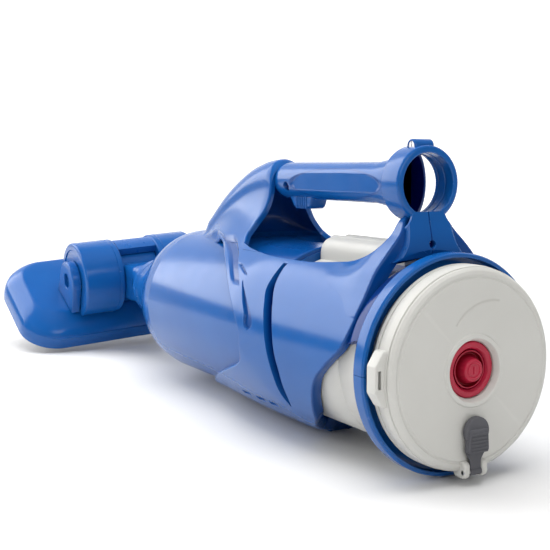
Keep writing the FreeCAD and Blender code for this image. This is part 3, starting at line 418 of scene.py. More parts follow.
@dataclass(frozen=True)
class Finish:
    """A moulded, cast or rubbed surface.

    Args:
        name: the material's name.
        tint: its colour.
        shade: colour of the painted shade in recesses, and, faintly, of its mottling.
        roughness: mean roughness.
        swing: how far roughness wanders either way.
        grain_mm: size of the fine surface texture.
        grain_depth_mm: its depth.
        mottle: strength of the slow colour variation.
        wear: how much paler and rougher rubbed edges are.
        metallic: 1 for metal.
        coat: strength of a clear gloss layer.
        brushed: stretch of the grain along Y, 1 for none.
        shine: strength of its surface reflection, 0.5 for plain plastic.
    """

    name: str
    tint: Tint
    shade: Tint
    roughness: float = 0.35
    swing: float = 0.05
    grain_mm: float = 0.8
    grain_depth_mm: float = 0.01
    mottle: float = 0.10
    wear: float = 0.15
    metallic: float = 0.0
    coat: float = 0.0
    brushed: float = 1.0
    shine: float = 0.5

    def material(self) -> bpy.types.Material:
        """Build the material once, and return it.

        Slow noise mixes tint towards shade; medium noise moves roughness; fine noise is the bump; the mesh's
        convex edges are paler and duller; the "recess" attribute paints shade: it mixes in the shade colour and turns
        the reflection down.

        Returns:
            The node material.
        """
        found = bpy.data.materials.get(self.name)
        if found:
            return found
        made = bpy.data.materials.new(self.name)
        made.use_nodes = True
        nodes, links = made.node_tree.nodes, made.node_tree.links
        nodes.clear()
        out = nodes.new("ShaderNodeOutputMaterial")
        shader = nodes.new("ShaderNodeBsdfPrincipled")
        links.new(shader.outputs["BSDF"], out.inputs["Surface"])
        shader.inputs["Metallic"].default_value = self.metallic
        shader.inputs["Coat Weight"].default_value = self.coat
        shader.inputs["Coat Roughness"].default_value = 0.06
        shader.inputs["Emission Color"].default_value = self.tint.linear
        where = nodes.new("ShaderNodeTexCoord").outputs["Object"]
        stretched = nodes.new("ShaderNodeMapping")
        stretched.inputs["Scale"].default_value = (1.0, 1.0 / self.brushed, 1.0)
        links.new(where, stretched.inputs["Vector"])

        def noise(size_mm: float, detail: float, source) -> bpy.types.NodeSocket:
            node = nodes.new("ShaderNodeTexNoise")
            node.inputs["Scale"].default_value = 1000.0 / size_mm
            node.inputs["Detail"].default_value = detail
            links.new(source, node.inputs["Vector"])
            return node.outputs["Fac"]

        def ranged(source, low: float, high: float, to_low: float, to_high: float) -> bpy.types.NodeSocket:
            node = nodes.new("ShaderNodeMapRange")
            for key, value in zip(("From Min", "From Max", "To Min", "To Max"), (low, high, to_low, to_high)):
                node.inputs[key].default_value = value
            links.new(source, node.inputs["Value"])
            return node.outputs["Result"]

        def mixed(factor, a, b) -> bpy.types.NodeSocket:
            node = nodes.new("ShaderNodeMix")
            node.data_type = "RGBA"
            links.new(factor, node.inputs["Factor"])
            for key, value in (("A", a), ("B", b)):
                if isinstance(value, tuple):
                    [s for s in node.inputs if s.name == key and s.type == "RGBA"][0].default_value = value
                else:
                    links.new(value, [s for s in node.inputs if s.name == key and s.type == "RGBA"][0])
            return [s for s in node.outputs if s.type == "RGBA"][0]

        def summed(a, b) -> bpy.types.NodeSocket:
            node = nodes.new("ShaderNodeMath")
            node.operation = "ADD"
            node.use_clamp = True
            links.new(a, node.inputs[0])
            links.new(b, node.inputs[1])
            return node.outputs[0]

        slow = ranged(noise(34.0, 3.0, where), 0.35, 0.7, 0.0, self.mottle)
        base = mixed(slow, self.tint.linear, self.shade.linear)
        edges = nodes.new("ShaderNodeNewGeometry").outputs["Pointiness"]
        rubbed = ranged(edges, 0.52, 0.60, 0.0, self.wear)
        pale = tuple(min(1.0, c * 1.25 + 0.02) for c in self.tint.linear[:3]) + (1.0,)
        base = mixed(rubbed, base, pale)
        # painted shade: the recess attribute mixes the base towards the shade colour and turns the reflection down
        recess = nodes.new("ShaderNodeAttribute")
        recess.attribute_name = "recess"
        base = mixed(recess.outputs["Fac"], base, self.shade.linear)
        links.new(ranged(recess.outputs["Fac"], 0.4, 1.0, self.shine, 0.15 * self.shine), shader.inputs["Specular IOR Level"])
        links.new(base, shader.inputs["Base Color"])
        rough = ranged(noise(9.0, 4.0, stretched.outputs[0]), 0.3, 0.7, self.roughness - self.swing,
                       self.roughness + self.swing)
        links.new(summed(rough, ranged(edges, 0.52, 0.60, 0.0, self.wear * 0.5)), shader.inputs["Roughness"])
        bump = nodes.new("ShaderNodeBump")
        bump.inputs["Strength"].default_value = 1.0
        bump.inputs["Distance"].default_value = self.grain_depth_mm / 1000.0
        links.new(noise(self.grain_mm, 2.0, stretched.outputs[0]), bump.inputs["Height"])
        links.new(bump.outputs["Normal"], shader.inputs["Normal"])
        return made


GLOSS_BLUE = Finish("gloss_blue", Tint.BLUE, Tint.MOTTLE_AND_PAINTED_SHADE_BLUE, 0.20, 0.035, 1.6, 0.0025, 0.08, 0.18, coat=0.06, shine=0.36)
# painted shade: a dark blue finish for sheets in cavities; no piece uses it
PAINTED_SHADE_BLUE = Finish("painted_shade_blue", Tint.MOTTLE_AND_PAINTED_SHADE_BLUE, Tint.MOTTLE_AND_PAINTED_SHADE_BLUE, 0.30, 0.06, 1.2, 0.004, 0.10, 0.05)
SATIN_WHITE = Finish("satin_white", Tint.WHITE, Tint.WHITE_SHADE, 0.42, 0.05, 0.7, 0.006, 0.14, 0.10)
CRIMSON = Finish("satin_crimson", Tint.CRIMSON, Tint.CRIMSON_SHADE, 0.36, 0.06, 0.6, 0.006, 0.12, 0.16)
RUBBER = Finish("charcoal_rubber", Tint.CHARCOAL, Tint.CHARCOAL_SHADE, 0.62, 0.08, 0.5, 0.02, 0.25, 0.25)
DARK_PLASTIC = Finish("dark_plastic", Tint.DARK, Tint.CHARCOAL_SHADE, 0.45, 0.08, 0.6, 0.010, 0.2, 0.15)
ROLLER_GREY = Finish("roller_grey", Tint.GREY, Tint.DARK, 0.50, 0.08, 0.6, 0.012, 0.25, 0.25)
STEEL = Finish("steel", Tint.STEEL, Tint.GREY, 0.26, 0.08, 0.3, 0.004, 0.15, 0.10, metallic=1.0, brushed=6.0)
CELL_WRAP = Finish("cell_wrap", Tint.CELL, Tint.DARK, 0.30, 0.08, 1.2, 0.01, 0.15, 0.1)
NYLON = Finish("nylon", Tint.NYLON, Tint.WHITE_SHADE, 0.48, 0.06, 0.7, 0.01, 0.15, 0.1)
BRISTLE = Finish("bristle", Tint.BRISTLE, Tint.MOTTLE_AND_PAINTED_SHADE_BLUE, 0.55, 0.10, 0.4, 0.05, 0.35, 0.2)
CLOTH = Finish("filter_cloth", Tint.CLOTH, Tint.WHITE_SHADE, 0.80, 0.08, 0.35, 0.05, 0.2, 0.05)

SLOT_FINISH = {
    "body_blue": GLOSS_BLUE, "warm_white": SATIN_WHITE, "crimson": CRIMSON, "charcoal_rubber": RUBBER,
    "dark_plastic": DARK_PLASTIC, "roller_grey": ROLLER_GREY, "steel": STEEL, "cell_wrap": CELL_WRAP,
    "impeller_nylon": NYLON, "bristle": BRISTLE, "filter_cloth": CLOTH,
}


def dress_packed_nodes() -> None:
    """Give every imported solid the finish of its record's material slot."""
    for part in frame["record"]["subparts"]:
        node = frame["nodes"][part["node"]]
        node.data.materials.clear()
        node.data.materials.append(SLOT_FINISH[part["material_slot"]].material())


# ---- body shells --------------------------------------------------------------------------------------------
def at_rows(angles: np.ndarray, values: np.ndarray, wanted: np.ndarray) -> np.ndarray:
    """Straight-line interpolation in each row.

    Args:
        angles: (n, k) rising abscissae.
        values: (n, k) ordinates.
        wanted: (n,) abscissa asked of each row.
    Returns:
        The (n,) ordinates.
    """
    k = np.clip((angles < wanted[:, None]).sum(1) - 1, 0, angles.shape[1] - 2)[:, None]
    a0, a1 = np.take_along_axis(angles, k, 1)[:, 0], np.take_along_axis(angles, k + 1, 1)[:, 0]
    v0, v1 = np.take_along_axis(values, k, 1)[:, 0], np.take_along_axis(values, k + 1, 1)[:, 0]
    t = np.clip((wanted - a0) / np.maximum(a1 - a0, 1e-9), 0, 1)
    return v0 + (v1 - v0) * t


@dataclass(frozen=True)
class BodyShell:
    """The two moulded halves of the body: barrel, hood, post skirts, outlets and edges.

    The outside is r(y, angle), with the angle from +Z round to the keel.  Edges are curves of (y, z) seen from
    the side.  Each half is three sheets that share their edges: the flank, the hood and the post's side.
    """

    radii: tuple = ((20, 65.4), (60, 67.5), (100, 70.5), (150, 75.0), (190, 77.5), (230, 77.2),
                    (280, 75.5), (320, 73.0), (352, 70.0), (390, 67.2))
    belly: tuple = ((20, 77.6), (120, 77.6), (186, 77.6), (238, 76.1), (280, 74.6), (310, 74.2), (390, 74.2))
    belly_lift: float = 6.6
    foot: tuple = ((142, 66.0), (150, 73.4), (215, 73.4), (245, 66.0))
    foot_half_w: float = 9.0
    hood: tuple = ((229, 133.0, 17.5, 77.0, 50), (245, 132.0, 18.0, 76.6, 50), (264, 128.3, 19.0, 76.0, 51),
                   (284, 121.0, 20.0, 75.2, 52), (310, 107.5, 20.5, 73.6, 53), (335, 90.5, 20.5, 71.4, 54),
                   (352, 78.0, 23.0, 70.0, 56), (366, 69.5, 34.0, 68.6, 58), (376, 66.6, 50.0, 67.2, 60))
    post: tuple = ((0, 97.5), (8.8, 94.6), (16.8, 85.8), (28.2, 78.3), (36.3, 74.4), (44.0, 70.6), (52, 68.2),
                   (62, 67.2))
    rear_edge: tuple = ((55, 98), (52.5, 92), (48.8, 86), (47.0, 78), (46.5, 69), (46.8, 60), (46.6, 42), (47.5, 28),
                        (52, 14), (66, 1), (82, -14), (92, -30), (105, -48), (127, -62), (145, -70), (152, -73.0))
    window_rear: tuple = ((58.0, 98), (56.4, 91), (55.4, 84), (56.6, 78), (60.5, 72), (66, 68.4))
    window_low: tuple = ((66, 68.4), (78, 64.9), (97, 61.8), (133, 59.4), (171, 60.2), (208, 63.4), (227, 66.8))
    window_front: tuple = ((229, 133), (229.3, 115), (229.6, 103), (230.6, 92), (233.5, 82), (233.6, 75), (227, 66.8))
    mouth: tuple = ((305, 67.6), (277, 65.4), (255, 61.4),
                    (236.5, 55.4), (211, 41.9), (190.3, 27.1), (175.5, 12), (170.5, 0), (172, -14), (180, -20.4),
                    (196, -26.5), (219, -34.2), (243, -42.5), (268, -51.5), (289, -60.5), (301, -68.5), (303, -70))
    crescent_rear: tuple = ((148, 54.5), (144.6, 44), (136.5, 29.5), (129.6, 13), (125.5, -2), (121.8, -18),
                            (121.6, -31), (124, -42), (150, -62), (172, -72))
    crescent_front: tuple = ((152.6, 53.5), (152.4, 42.3), (146.6, 29), (140.6, 15), (135, -2), (131, -18),
                             (129.2, -33), (125.4, -43), (151, -62), (173, -72))
    can_r: float = 61.8
    tip_line: tuple = ((0, 371), (8, 368.5), (14, 361), (19, 343), (23, 315), (30, 288.2), (40, 262))
    tip_run: float = 24.0

    def radius(self, y: np.ndarray, angle: np.ndarray) -> np.ndarray:
        """Distance of the skin from the centre line.

        The smaller of the barrel's radius and the lifted belly's, then the largest of that, a narrow flat foot,
        the hood's section and the post's skirt; the hood fades in over y = 196 to 236, the post fades out over
        y = 58 to 104, and the hood's tip sinks into the nose.

        Args:
            y: positions along the barrel.
            angle: angles in degrees from the top, of the same shape.
        Returns:
            The radii, of the same shape.
        """
        shape = np.broadcast(y, angle).shape
        y, angle = (np.broadcast_to(a, shape).astype(float).ravel() for a in (y, angle))
        barrel = smooth_curve(*np.array(self.radii).T, y)
        up = np.radians(180.0 - angle)
        belly = smooth_curve(*np.array(self.belly).T, y)
        belly = np.sqrt(belly**2 - (self.belly_lift * np.sin(up)) ** 2) - self.belly_lift * np.cos(up)
        barrel = (barrel + belly - np.sqrt((barrel - belly) ** 2 + 0.5)) / 2
        depth = smooth_curve(*np.array(self.foot).T, y)
        flat = depth / np.maximum(np.cos(up), 0.2)
        inside = (1 - smooth_step(self.foot_half_w, self.foot_half_w + 1.5, depth * np.tan(np.minimum(up, 1.2)))) * (up < 1.2)
        skin = barrel + np.maximum(flat - barrel, 0) * inside
        post = smooth_curve(*np.array(self.post).T, angle)
        post_share = (1 - smooth_step(58, 104, y)) * (angle < self.post[-1][0])
        skin = skin + np.maximum(post - skin, 0) * post_share
        hood_share = smooth_step(196, 236, y)
        skin = skin + np.maximum(self.hood_radius(np.maximum(y, 229.0), angle) - skin, 0) * hood_share
        ends_at = smooth_curve(*np.array(self.tip_line).T, np.minimum(angle, self.tip_line[-1][0]))
        tip = smooth_step(ends_at - self.tip_run, ends_at, y) * (1 - smooth_step(26, 44, angle))
        over = np.maximum(skin - self.nose_radius(angle) + 0.5, 0)
        return (skin - over * tip).reshape(shape)

    def nose_radius(self, angle: np.ndarray) -> np.ndarray:
        """Radius of the nose under the hood's tip: round, and a little raised on top."""
        up = np.cos(np.radians(angle))
        return NOSE_R + NOSE_LIFT * up * smooth_step(10, 60, NOSE_R * up)

    def hood_radius(self, y: np.ndarray, angle: np.ndarray) -> np.ndarray:
        """Radius of the hood's section: a round crown, then a cubic flank tangent to the barrel at its foot."""
        table = np.array(self.hood, float)
        top, crown, barrel, lean = (smooth_curve(table[:, 0], table[:, i], y)[:, None] for i in (1, 2, 3, 4))
        centre, lean = top - crown, np.radians(lean)
        foot_x, foot_z = barrel * np.sin(lean), barrel * np.cos(lean)
        reach = 0.45 * (centre - foot_z)
        a = np.radians(np.linspace(0, 90, 30))[None]
        t = np.linspace(0, 1, 40)[None, 1:]
        ways = [(1 - t) ** 3, 3 * t * (1 - t) ** 2, 3 * t**2 * (1 - t), t**3]
        flank_x = ways[0] * crown + ways[1] * crown + ways[2] * (foot_x - np.cos(lean) * reach) + ways[3] * foot_x
        flank_z = (ways[0] * centre + ways[1] * (centre - reach) + ways[2] * (foot_z + np.sin(lean) * reach)
                   + ways[3] * foot_z)
        x = np.hstack([crown * np.sin(a), flank_x])
        z = np.hstack([centre + crown * np.cos(a), flank_z])
        turned = np.degrees(np.arctan2(x, z))
        found = at_rows(turned, np.hypot(x, z), angle)
        return np.where(angle <= turned[:, -1], found, 0.0)

    def point(self, y: np.ndarray, angle: np.ndarray, sink: np.ndarray | float = 0.0) -> np.ndarray:
        """Points of the skin on the right side, sunk towards the centre line."""
        r = self.radius(y, angle) - sink
        a = np.radians(angle)
        return np.stack([r * np.sin(a), np.broadcast_to(y, r.shape), r * np.cos(a)], -1)

    def edge(self, curve: tuple) -> tuple[np.ndarray, np.ndarray]:
        """An edge curve of (y, z) as angles and positions: the angle is where the skin at y has that height.

        Args:
            curve: the points of (y, z), from the top down.
        Returns:
            Rising angles in degrees and the y at each.
        """
        rows = np.array(curve, float)
        along = np.concatenate([[0], np.cumsum(np.hypot(*np.diff(rows, axis=0).T))])
        fine = np.linspace(0, along[-1], 240)
        y, z = smooth_curve(along, rows[:, 0], fine), smooth_curve(along, rows[:, 1], fine)
        angles = np.linspace(0, 180, 361)
        heights = self.radius(y[:, None], angles[None]) * np.cos(np.radians(angles))[None]
        heights = np.minimum.accumulate(heights, axis=1) - np.arange(361) * 1e-7
        found = at_rows(-heights, np.broadcast_to(angles, heights.shape), -z)
        order = np.argsort(found, kind="stable")
        found, y = found[order], y[order]
        if curve is self.mouth:
            tip = np.array(self.tip_line)
            head = np.linspace(0, tip[4, 0], 60)
            kept = found > tip[4, 0] + 2.0
            found = np.concatenate([head, found[kept]])
            y = np.concatenate([smooth_curve(*tip.T, head), y[kept]])
        return found, y

    def seam_angle(self, y: np.ndarray) -> np.ndarray:
        """Angle of the line where the flank ends above: the low edge of the window, carried on fore and aft."""
        angles, at = self.edge(self.window_low)
        order = np.argsort(at)
        return np.interp(y, at[order], angles[order])

    def flank_grid(self, rows: int, spans: tuple) -> tuple[np.ndarray, np.ndarray, np.ndarray, np.ndarray]:
        """Positions and angles of the flank's grid.

        Rows fan out from the seam to the keel, level below 75 degrees.  Columns run between the rear edge, the
        line of the post, the crescent's two sides, the line of the hood and the mouth.

        Args:
            rows: number of rows.
            spans: number of steps in each of the five spans of columns.
        Returns:
            y, angle, the share of the way through each span, and the span of each column.
        """
        t = np.linspace(0, 1, rows)[:, None]
        edges = [self.edge(c) for c in (self.rear_edge, self.crescent_rear, self.crescent_front, self.mouth)]
        share = np.concatenate([np.linspace(0, 1, n + 1)[:-1] for n in spans] + [[0.0]])
        span = np.concatenate([np.full(n, i) for i, n in enumerate(spans)] + [[len(spans)]])
        angle = np.broadcast_to(30 + 150 * t, (rows, len(share)))
        for _ in range(8):
            rear, slot_rear, slot_front, mouth = (np.interp(angle, *e) for e in edges)
            lines = np.stack([rear, rear + 0.215 * (slot_rear - rear), slot_rear, np.maximum(slot_front, slot_rear + 1),
                              slot_front + 0.40 * (mouth - slot_front), mouth])
            low = np.take_along_axis(lines, span[None, None].repeat(rows, 1), 0)[0]
            high = np.take_along_axis(lines, np.minimum(span + 1, 5)[None, None].repeat(rows, 1), 0)[0]
            y = low + (high - low) * share
            top = self.seam_angle(y)
            angle = np.where(t < 0.35, top + (75 - top) * t / 0.35, 75 + 105 * (t - 0.35) / 0.65)
        return y, angle, np.broadcast_to(share, y.shape), np.broadcast_to(span, y.shape)

    def recess_depth(self, y: np.ndarray, angle: np.ndarray) -> np.ndarray:
        """Depth of the flank's pockets: a ledge along the mouth, a sliver, a drop and three drains.

        The ledge lies between the mouth and a line beside it, deeper along that line; the drop is a circle at
        its foot drawn out to a point; a drain is a short groove along the barrel.
        """
        z = self.radius(y, angle) * np.cos(np.radians(angle))
        upper = (angle < 90) & (z < 84)
        ledge_y = smooth_curve((36, 41, 54.5, 64, 72, 80), (183, 190, 212, 229, 246, 262), z)
        mouth_y = smooth_curve((27.1, 41.9, 55.4, 61.8, 66.4, 69.4), (190.3, 211, 236.5, 255, 277, 308), z)
        share = (y - ledge_y) / np.maximum(mouth_y - ledge_y, 4.0)
        tall = smooth_step(0.0, 0.16, share) * (1 - smooth_step(0.50, 0.82, share))
        tall = tall * smooth_step(37, 43, z) * (1 - smooth_step(67, 72, z)) * upper
        middle = smooth_curve((10, 17, 29, 41.6), (161.0, 162.0, 172.0, 185.5), z)
        half = np.where(z < 15, np.sqrt(np.maximum(5.4**2 - (z - 15) ** 2, 0.01)), 5.4 * np.clip((42 - z) / 27, 0, 1) ** 0.9)
        drop = (1 - smooth_step(half - 0.5, half + 0.4, np.abs(y - middle))) * (z > 9) * (1 - smooth_step(41, 42.5, z))
        sliver = (1 - smooth_step(0.6, 3.4, np.abs(y - 196.0 - (z - 49.5) * 3.0))) * smooth_step(45.8, 47.4, z)
        sliver = sliver * (1 - smooth_step(51.5, 53.0, z))
        depth = 2.2 * tall + 2.2 * drop * upper + 1.4 * sliver * upper
        for middle_y, half_y in ((155.5, 5.0), (174.2, 5.8), (196.8, 5.8)):
            along = 1 - smooth_step(half_y - 0.5, half_y + 0.4, np.abs(y - middle_y))
            depth = depth + 3.6 * along * (1 - smooth_step(1.0, 1.6, np.abs(angle - 130.5)))
        return depth

    def rim(self, edge: np.ndarray, inner: np.ndarray, roll: float, depth: float, reach: tuple = ()) -> np.ndarray:
        """Rolled lip along an edge: a quarter circle outward along the skin, then a wall inward.

        Args:
            edge: (n, 3) points of the edge.
            inner: (n, 3) neighbours of the edge inside the sheet.
            roll: radius of the rolled lip.
            depth: how far in the wall runs.
            reach: a radius that the wall's foot runs to instead, and the heights where it does not and does.
        Returns:
            (rows, n, 3) points from the edge inward.
        """
        along = np.gradient(edge, axis=0)
        along /= np.maximum(np.linalg.norm(along, axis=1, keepdims=True), 1e-9)
        out = edge - inner
        out -= along * (out * along).sum(1, keepdims=True)
        out /= np.maximum(np.linalg.norm(out, axis=1, keepdims=True), 1e-9)
        normal = np.cross(along, out)
        normal *= np.sign((normal * edge * (1, 0, 1)).sum(1, keepdims=True) + 1e-9)
        turn = np.linspace(0, math.pi / 2, 6)[:, None, None]
        rolled_rows = edge + out * roll * np.sin(turn) - normal * roll * (1 - np.cos(turn))
        foot = rolled_rows[-1] - normal * depth
        if reach:
            target, without, fully = reach
            radial = np.hypot(rolled_rows[-1][:, 0], rolled_rows[-1][:, 2])[:, None]
            shrink = np.minimum(target / radial, 1.0)
            round_foot = rolled_rows[-1] * np.concatenate([shrink, np.ones_like(shrink), shrink], 1)
            share = smooth_step(without, fully, edge[:, 2:3])
            foot = foot * (1 - share) + round_foot * share
        t = np.linspace(0, 1, 7)[1:, None, None]
        walls = rolled_rows[-1] + (foot - rolled_rows[-1]) * t
        return np.concatenate([rolled_rows, walls])

    def half(self, name: str, side: int, axes: Axes) -> bpy.types.Object:
        """One moulded half.

        Args:
            name: the piece's name.
            side: -1 for left, 1 for right.
            axes: the body's axes.
        Returns:
            The object.
        """
        spans = (14, 76, 10, 64, 90)
        y, angle, share, span = self.flank_grid(230, spans)
        z = self.radius(y, angle) * np.cos(np.radians(angle))
        in_slot = (span == 2) | ((span == 3) & (share == 0))
        taper = smooth_step(-45.5, -38, z) * (1 - smooth_step(55.5, 57.5, z))
        wide = np.interp(angle, *self.edge(self.crescent_front)) - np.interp(angle, *self.edge(self.crescent_rear))
        profile = np.where(span == 2, np.sin(math.pi * np.clip(share, 0.0, 1.0)) ** 0.16, 0.0)
        slot_depth = 8.5 * profile * taper * smooth_step(1.0, 3.0, wide)
        pockets = self.recess_depth(y, angle)
        piece = Piece(name)
        # painted shade: the crescent slot, the pockets and the drains are darkened through the recess attribute, fully
        # low on the flank and partly higher up
        mark = np.clip(slot_depth / 3.0, 0, 1) + np.clip(pockets / 3.2, 0, 1) * np.where(angle > 120, 1.0, 0.55)
        flank = self.point(y, angle, slot_depth + pockets)
        piece.grid(flank, mark=np.clip(mark, 0, 1))

        rows = 110
        hood_first, band_last = sum(spans[:4]), spans[0]
        seam_y, seam_a = y[0], angle[0]
        t = np.linspace(0, 1, rows)[:, None]
        window_front = self.edge(self.window_front)
        mouth = self.edge(self.mouth)
        cols = seam_y[hood_first:]
        part = ((cols - cols[0]) / (cols[-1] - cols[0]))[None]
        top = seam_a[hood_first:][None]
        hood_a = top * t
        for _ in range(3):
            start, stop = np.interp(hood_a, *window_front), np.interp(hood_a, *mouth)
            start = np.where(t >= 1, cols[0], start)
            stop = np.where(t >= 1, cols[-1], stop)
            hood_y = start + (stop - start) * part
        pockets_hood = self.recess_depth(hood_y, hood_a)
        hood = self.point(hood_y, hood_a, pockets_hood)
        hood[-1] = flank[0, hood_first:]
        # painted shade in the hood's pockets, at part strength
        piece.grid(hood, mark=np.clip(pockets_hood / 3.2, 0, 1) * 0.55)

        low_a = 5.0
        band_t = np.linspace(0, 1, 30)[:, None]
        band_a = low_a + (seam_a[: band_last + 1][None] - low_a) * band_t
        rear = np.interp(band_a[:, :1], *self.edge(self.rear_edge))
        front = np.interp(band_a[:, -1:], *self.edge(self.window_rear))
        part = ((seam_y[: band_last + 1] - seam_y[0]) / (seam_y[band_last] - seam_y[0]))[None]
        rear[-1], front[-1] = seam_y[0], seam_y[band_last]
        band = self.point(rear + (front - rear) * part, band_a)
        band[-1] = flank[0, : band_last + 1]
        piece.grid(band)

        window = np.concatenate([hood[:-1, 0], flank[0, band_last:hood_first + 1][::-1], band[:-1, -1][::-1]])
        window_in = np.concatenate([hood[:-1, 1], flank[1, band_last:hood_first + 1][::-1], band[:-1, -2][::-1]])
        rear_edge = np.concatenate([band[:-1, 0], flank[:, 0]])
        rear_in = np.concatenate([band[:-1, 1], flank[:, 1]])
        mouth_edge = np.concatenate([hood[:-1, -1], flank[:, -1]])
        mouth_in = np.concatenate([hood[:-1, -2], flank[:, -2]])
        piece.grid(self.rim(window, window_in, 1.5, 3.0), flip=True)
        # painted shade over the rear edge's rolled lip and its wall
        piece.grid(self.rim(rear_edge, rear_in, 1.3, 9.0, (self.can_r, 66.0, 54.0)), mark=0.35)
        piece.grid(self.rim(mouth_edge, mouth_in, 1.6, 2.2, (NOSE_R - 0.2, 8.0, -12.0)), flip=True)
        if side < 0:
            piece.points = [p * (-1, 1, 1) for p in piece.points]
            piece.faces = [f[:, ::-1] for f in piece.faces]
        return piece.built(axes, "body", [GLOSS_BLUE], "body_blue", (name.replace("_skin", ""),), solid=True, sharp=38)

    def scoop(self, axes: Axes) -> bpy.types.Object:
        """Hollow under the front of the grip and the deck behind it.

        A pocket swept down from the hood's lip: across it the wall follows a superellipse back to the lip, and
        its foot runs into the deck, a strip of the barrel 67.6 mm from the centre line.
        """
        down = np.array([(229.2, 116), (238, 112.5), (249, 106), (257, 96), (260.5, 84), (257, 74.5), (246, 69.2),
                         (228, 67.8), (205, 67.6), (182, 67.6), (163, 67.6), (160.4, 66.6), (160.0, 62.0)])
        along = np.linspace(0, len(down) - 1, 90)
        y_deep = smooth_curve(np.arange(len(down)), down[:, 0], along)[:, None]
        z_mid = smooth_curve(np.arange(len(down)), down[:, 1], along)[:, None]
        u = np.linspace(-1, 1, 61)[None]
        skin = self.edge(self.window_front)
        heights = self.point(skin[1], skin[0])
        order = np.argsort(heights[:, 2])
        lip_x = np.interp(z_mid, heights[order, 2], heights[order, 0]) - 1.2
        lip_y = np.interp(z_mid, heights[order, 2], heights[order, 1])
        on_deck = smooth_step(246, 228, y_deep) * (z_mid < 80)
        edge_a = np.radians(self.seam_angle(np.minimum(y_deep, 226.0)) + 2.0)
        deck_x = 69.0 * np.sin(edge_a)
        half = lip_x * (1 - on_deck) + deck_x * on_deck
        x = half * u
        bowl = (1 - np.abs(u) ** 3.2) ** (1 / 3.2)
        y = np.where(on_deck < 1, (lip_y + (y_deep - lip_y) * bowl) * (1 - on_deck) + y_deep * on_deck, y_deep)
        deck_z = np.sqrt(np.maximum(z_mid**2 - (x * 0.98) ** 2, 25.0))
        z = z_mid * (1 - on_deck) + deck_z * on_deck
        # painted shade over the whole hollow, darker on its wall above 72 mm than on the deck
        piece = Piece("handle_scoop").grid(np.stack([x, y, z], -1), mark=0.25 + 0.30 * (z > 72))
        return piece.built(axes, "body", [GLOSS_BLUE], "body_blue", (), solid=False, sharp=50)

    def make(self, axes: Axes) -> None:
        """Both halves and the hollow under the grip."""
        self.half("left_shell_skin", -1, axes)
        self.half("right_shell_skin", 1, axes)
        self.scoop(axes)
# ---- rear end -----------------------------------------------------------------------------------------------
def swapped(points: np.ndarray) -> np.ndarray:
    """Points laid out along Y turned to lie along X: x and y change places."""
    return points[..., [1, 0, 2]]


def upright(points: np.ndarray) -> np.ndarray:
    """Slab points (a, b, height) as (x, y, z) with the slab facing the rear: a is x, height is y and b is z."""
    return points[..., [0, 2, 1]]


def sideways(points: np.ndarray) -> np.ndarray:
    """Slab points (a, b, height) as (x, y, z) with the slab facing sideways: height is x, a is y and b is z."""
    return points[..., [2, 0, 1]]


def sector(piece: Piece, profile: np.ndarray, centre: tuple[float, float], arc: tuple[float, float],
           segments: int = 120) -> Piece:
    """Add part of a turned ring from a closed profile, with both of its ends filled.

    Args:
        piece: the piece to add to.
        profile: (n, 2) closed outline of (y, radius), without its first point repeated.
        centre: (x, z) of the turning line.
        arc: first and last angle in degrees from +Z towards +X.
        segments: steps round the arc.
    Returns:
        The piece.
    """
    a = np.radians(np.linspace(*arc, segments + 1))[:, None]
    y, r = profile[None, :, 0], profile[None, :, 1]
    body = np.stack([centre[0] + r * np.sin(a), y + 0 * a, centre[1] + r * np.cos(a)], -1)
    ends = [np.broadcast_to(body[k].mean(0), body[k].shape)[None] for k in (0, -1)]
    return piece.grid(np.concatenate([ends[0], body, ends[1]]), around=True)


def recessed(outline: np.ndarray, middle: tuple[float, float], low: float, high: float, edge: float, hole_r: float,
             floor: float) -> np.ndarray:
    """Slab over an outline with a rounded high edge and a round recess in its high face.

    Rows run from the middle of the low face, up the side, in to the recess's rim, down its wall and to the middle
    of its floor.  Each outline point is tied to the point of the rim in the same direction.

    Args:
        outline: (n, 2) outline, seen whole from the middle.
        middle: centre of the recess.
        low: height of the low face.
        high: height of the high face.
        edge: radius of the rounded edge.
        hole_r: radius of the recess.
        floor: height of its floor.
    Returns:
        (rows, n, 3) points of (a, b, height).
    """
    centre = np.array(middle)
    ray = outline - centre
    ray /= np.linalg.norm(ray, axis=1, keepdims=True)
    t = np.linspace(0, math.pi / 2, 6)
    loops = [(np.tile(centre, (len(outline), 1)), low), (outline, low)]
    loops += [(padded_outline(outline, edge * (1 - math.cos(k))), high - edge * (1 - math.sin(k))) for k in t]
    loops += [(centre + ray * (hole_r + 0.5), high), (centre + ray * hole_r, high - 0.5),
              (centre + ray * hole_r, floor), (np.tile(centre, (len(outline), 1)), floor)]
    return np.stack([np.column_stack([loop, np.full(len(loop), h)]) for loop, h in loops])


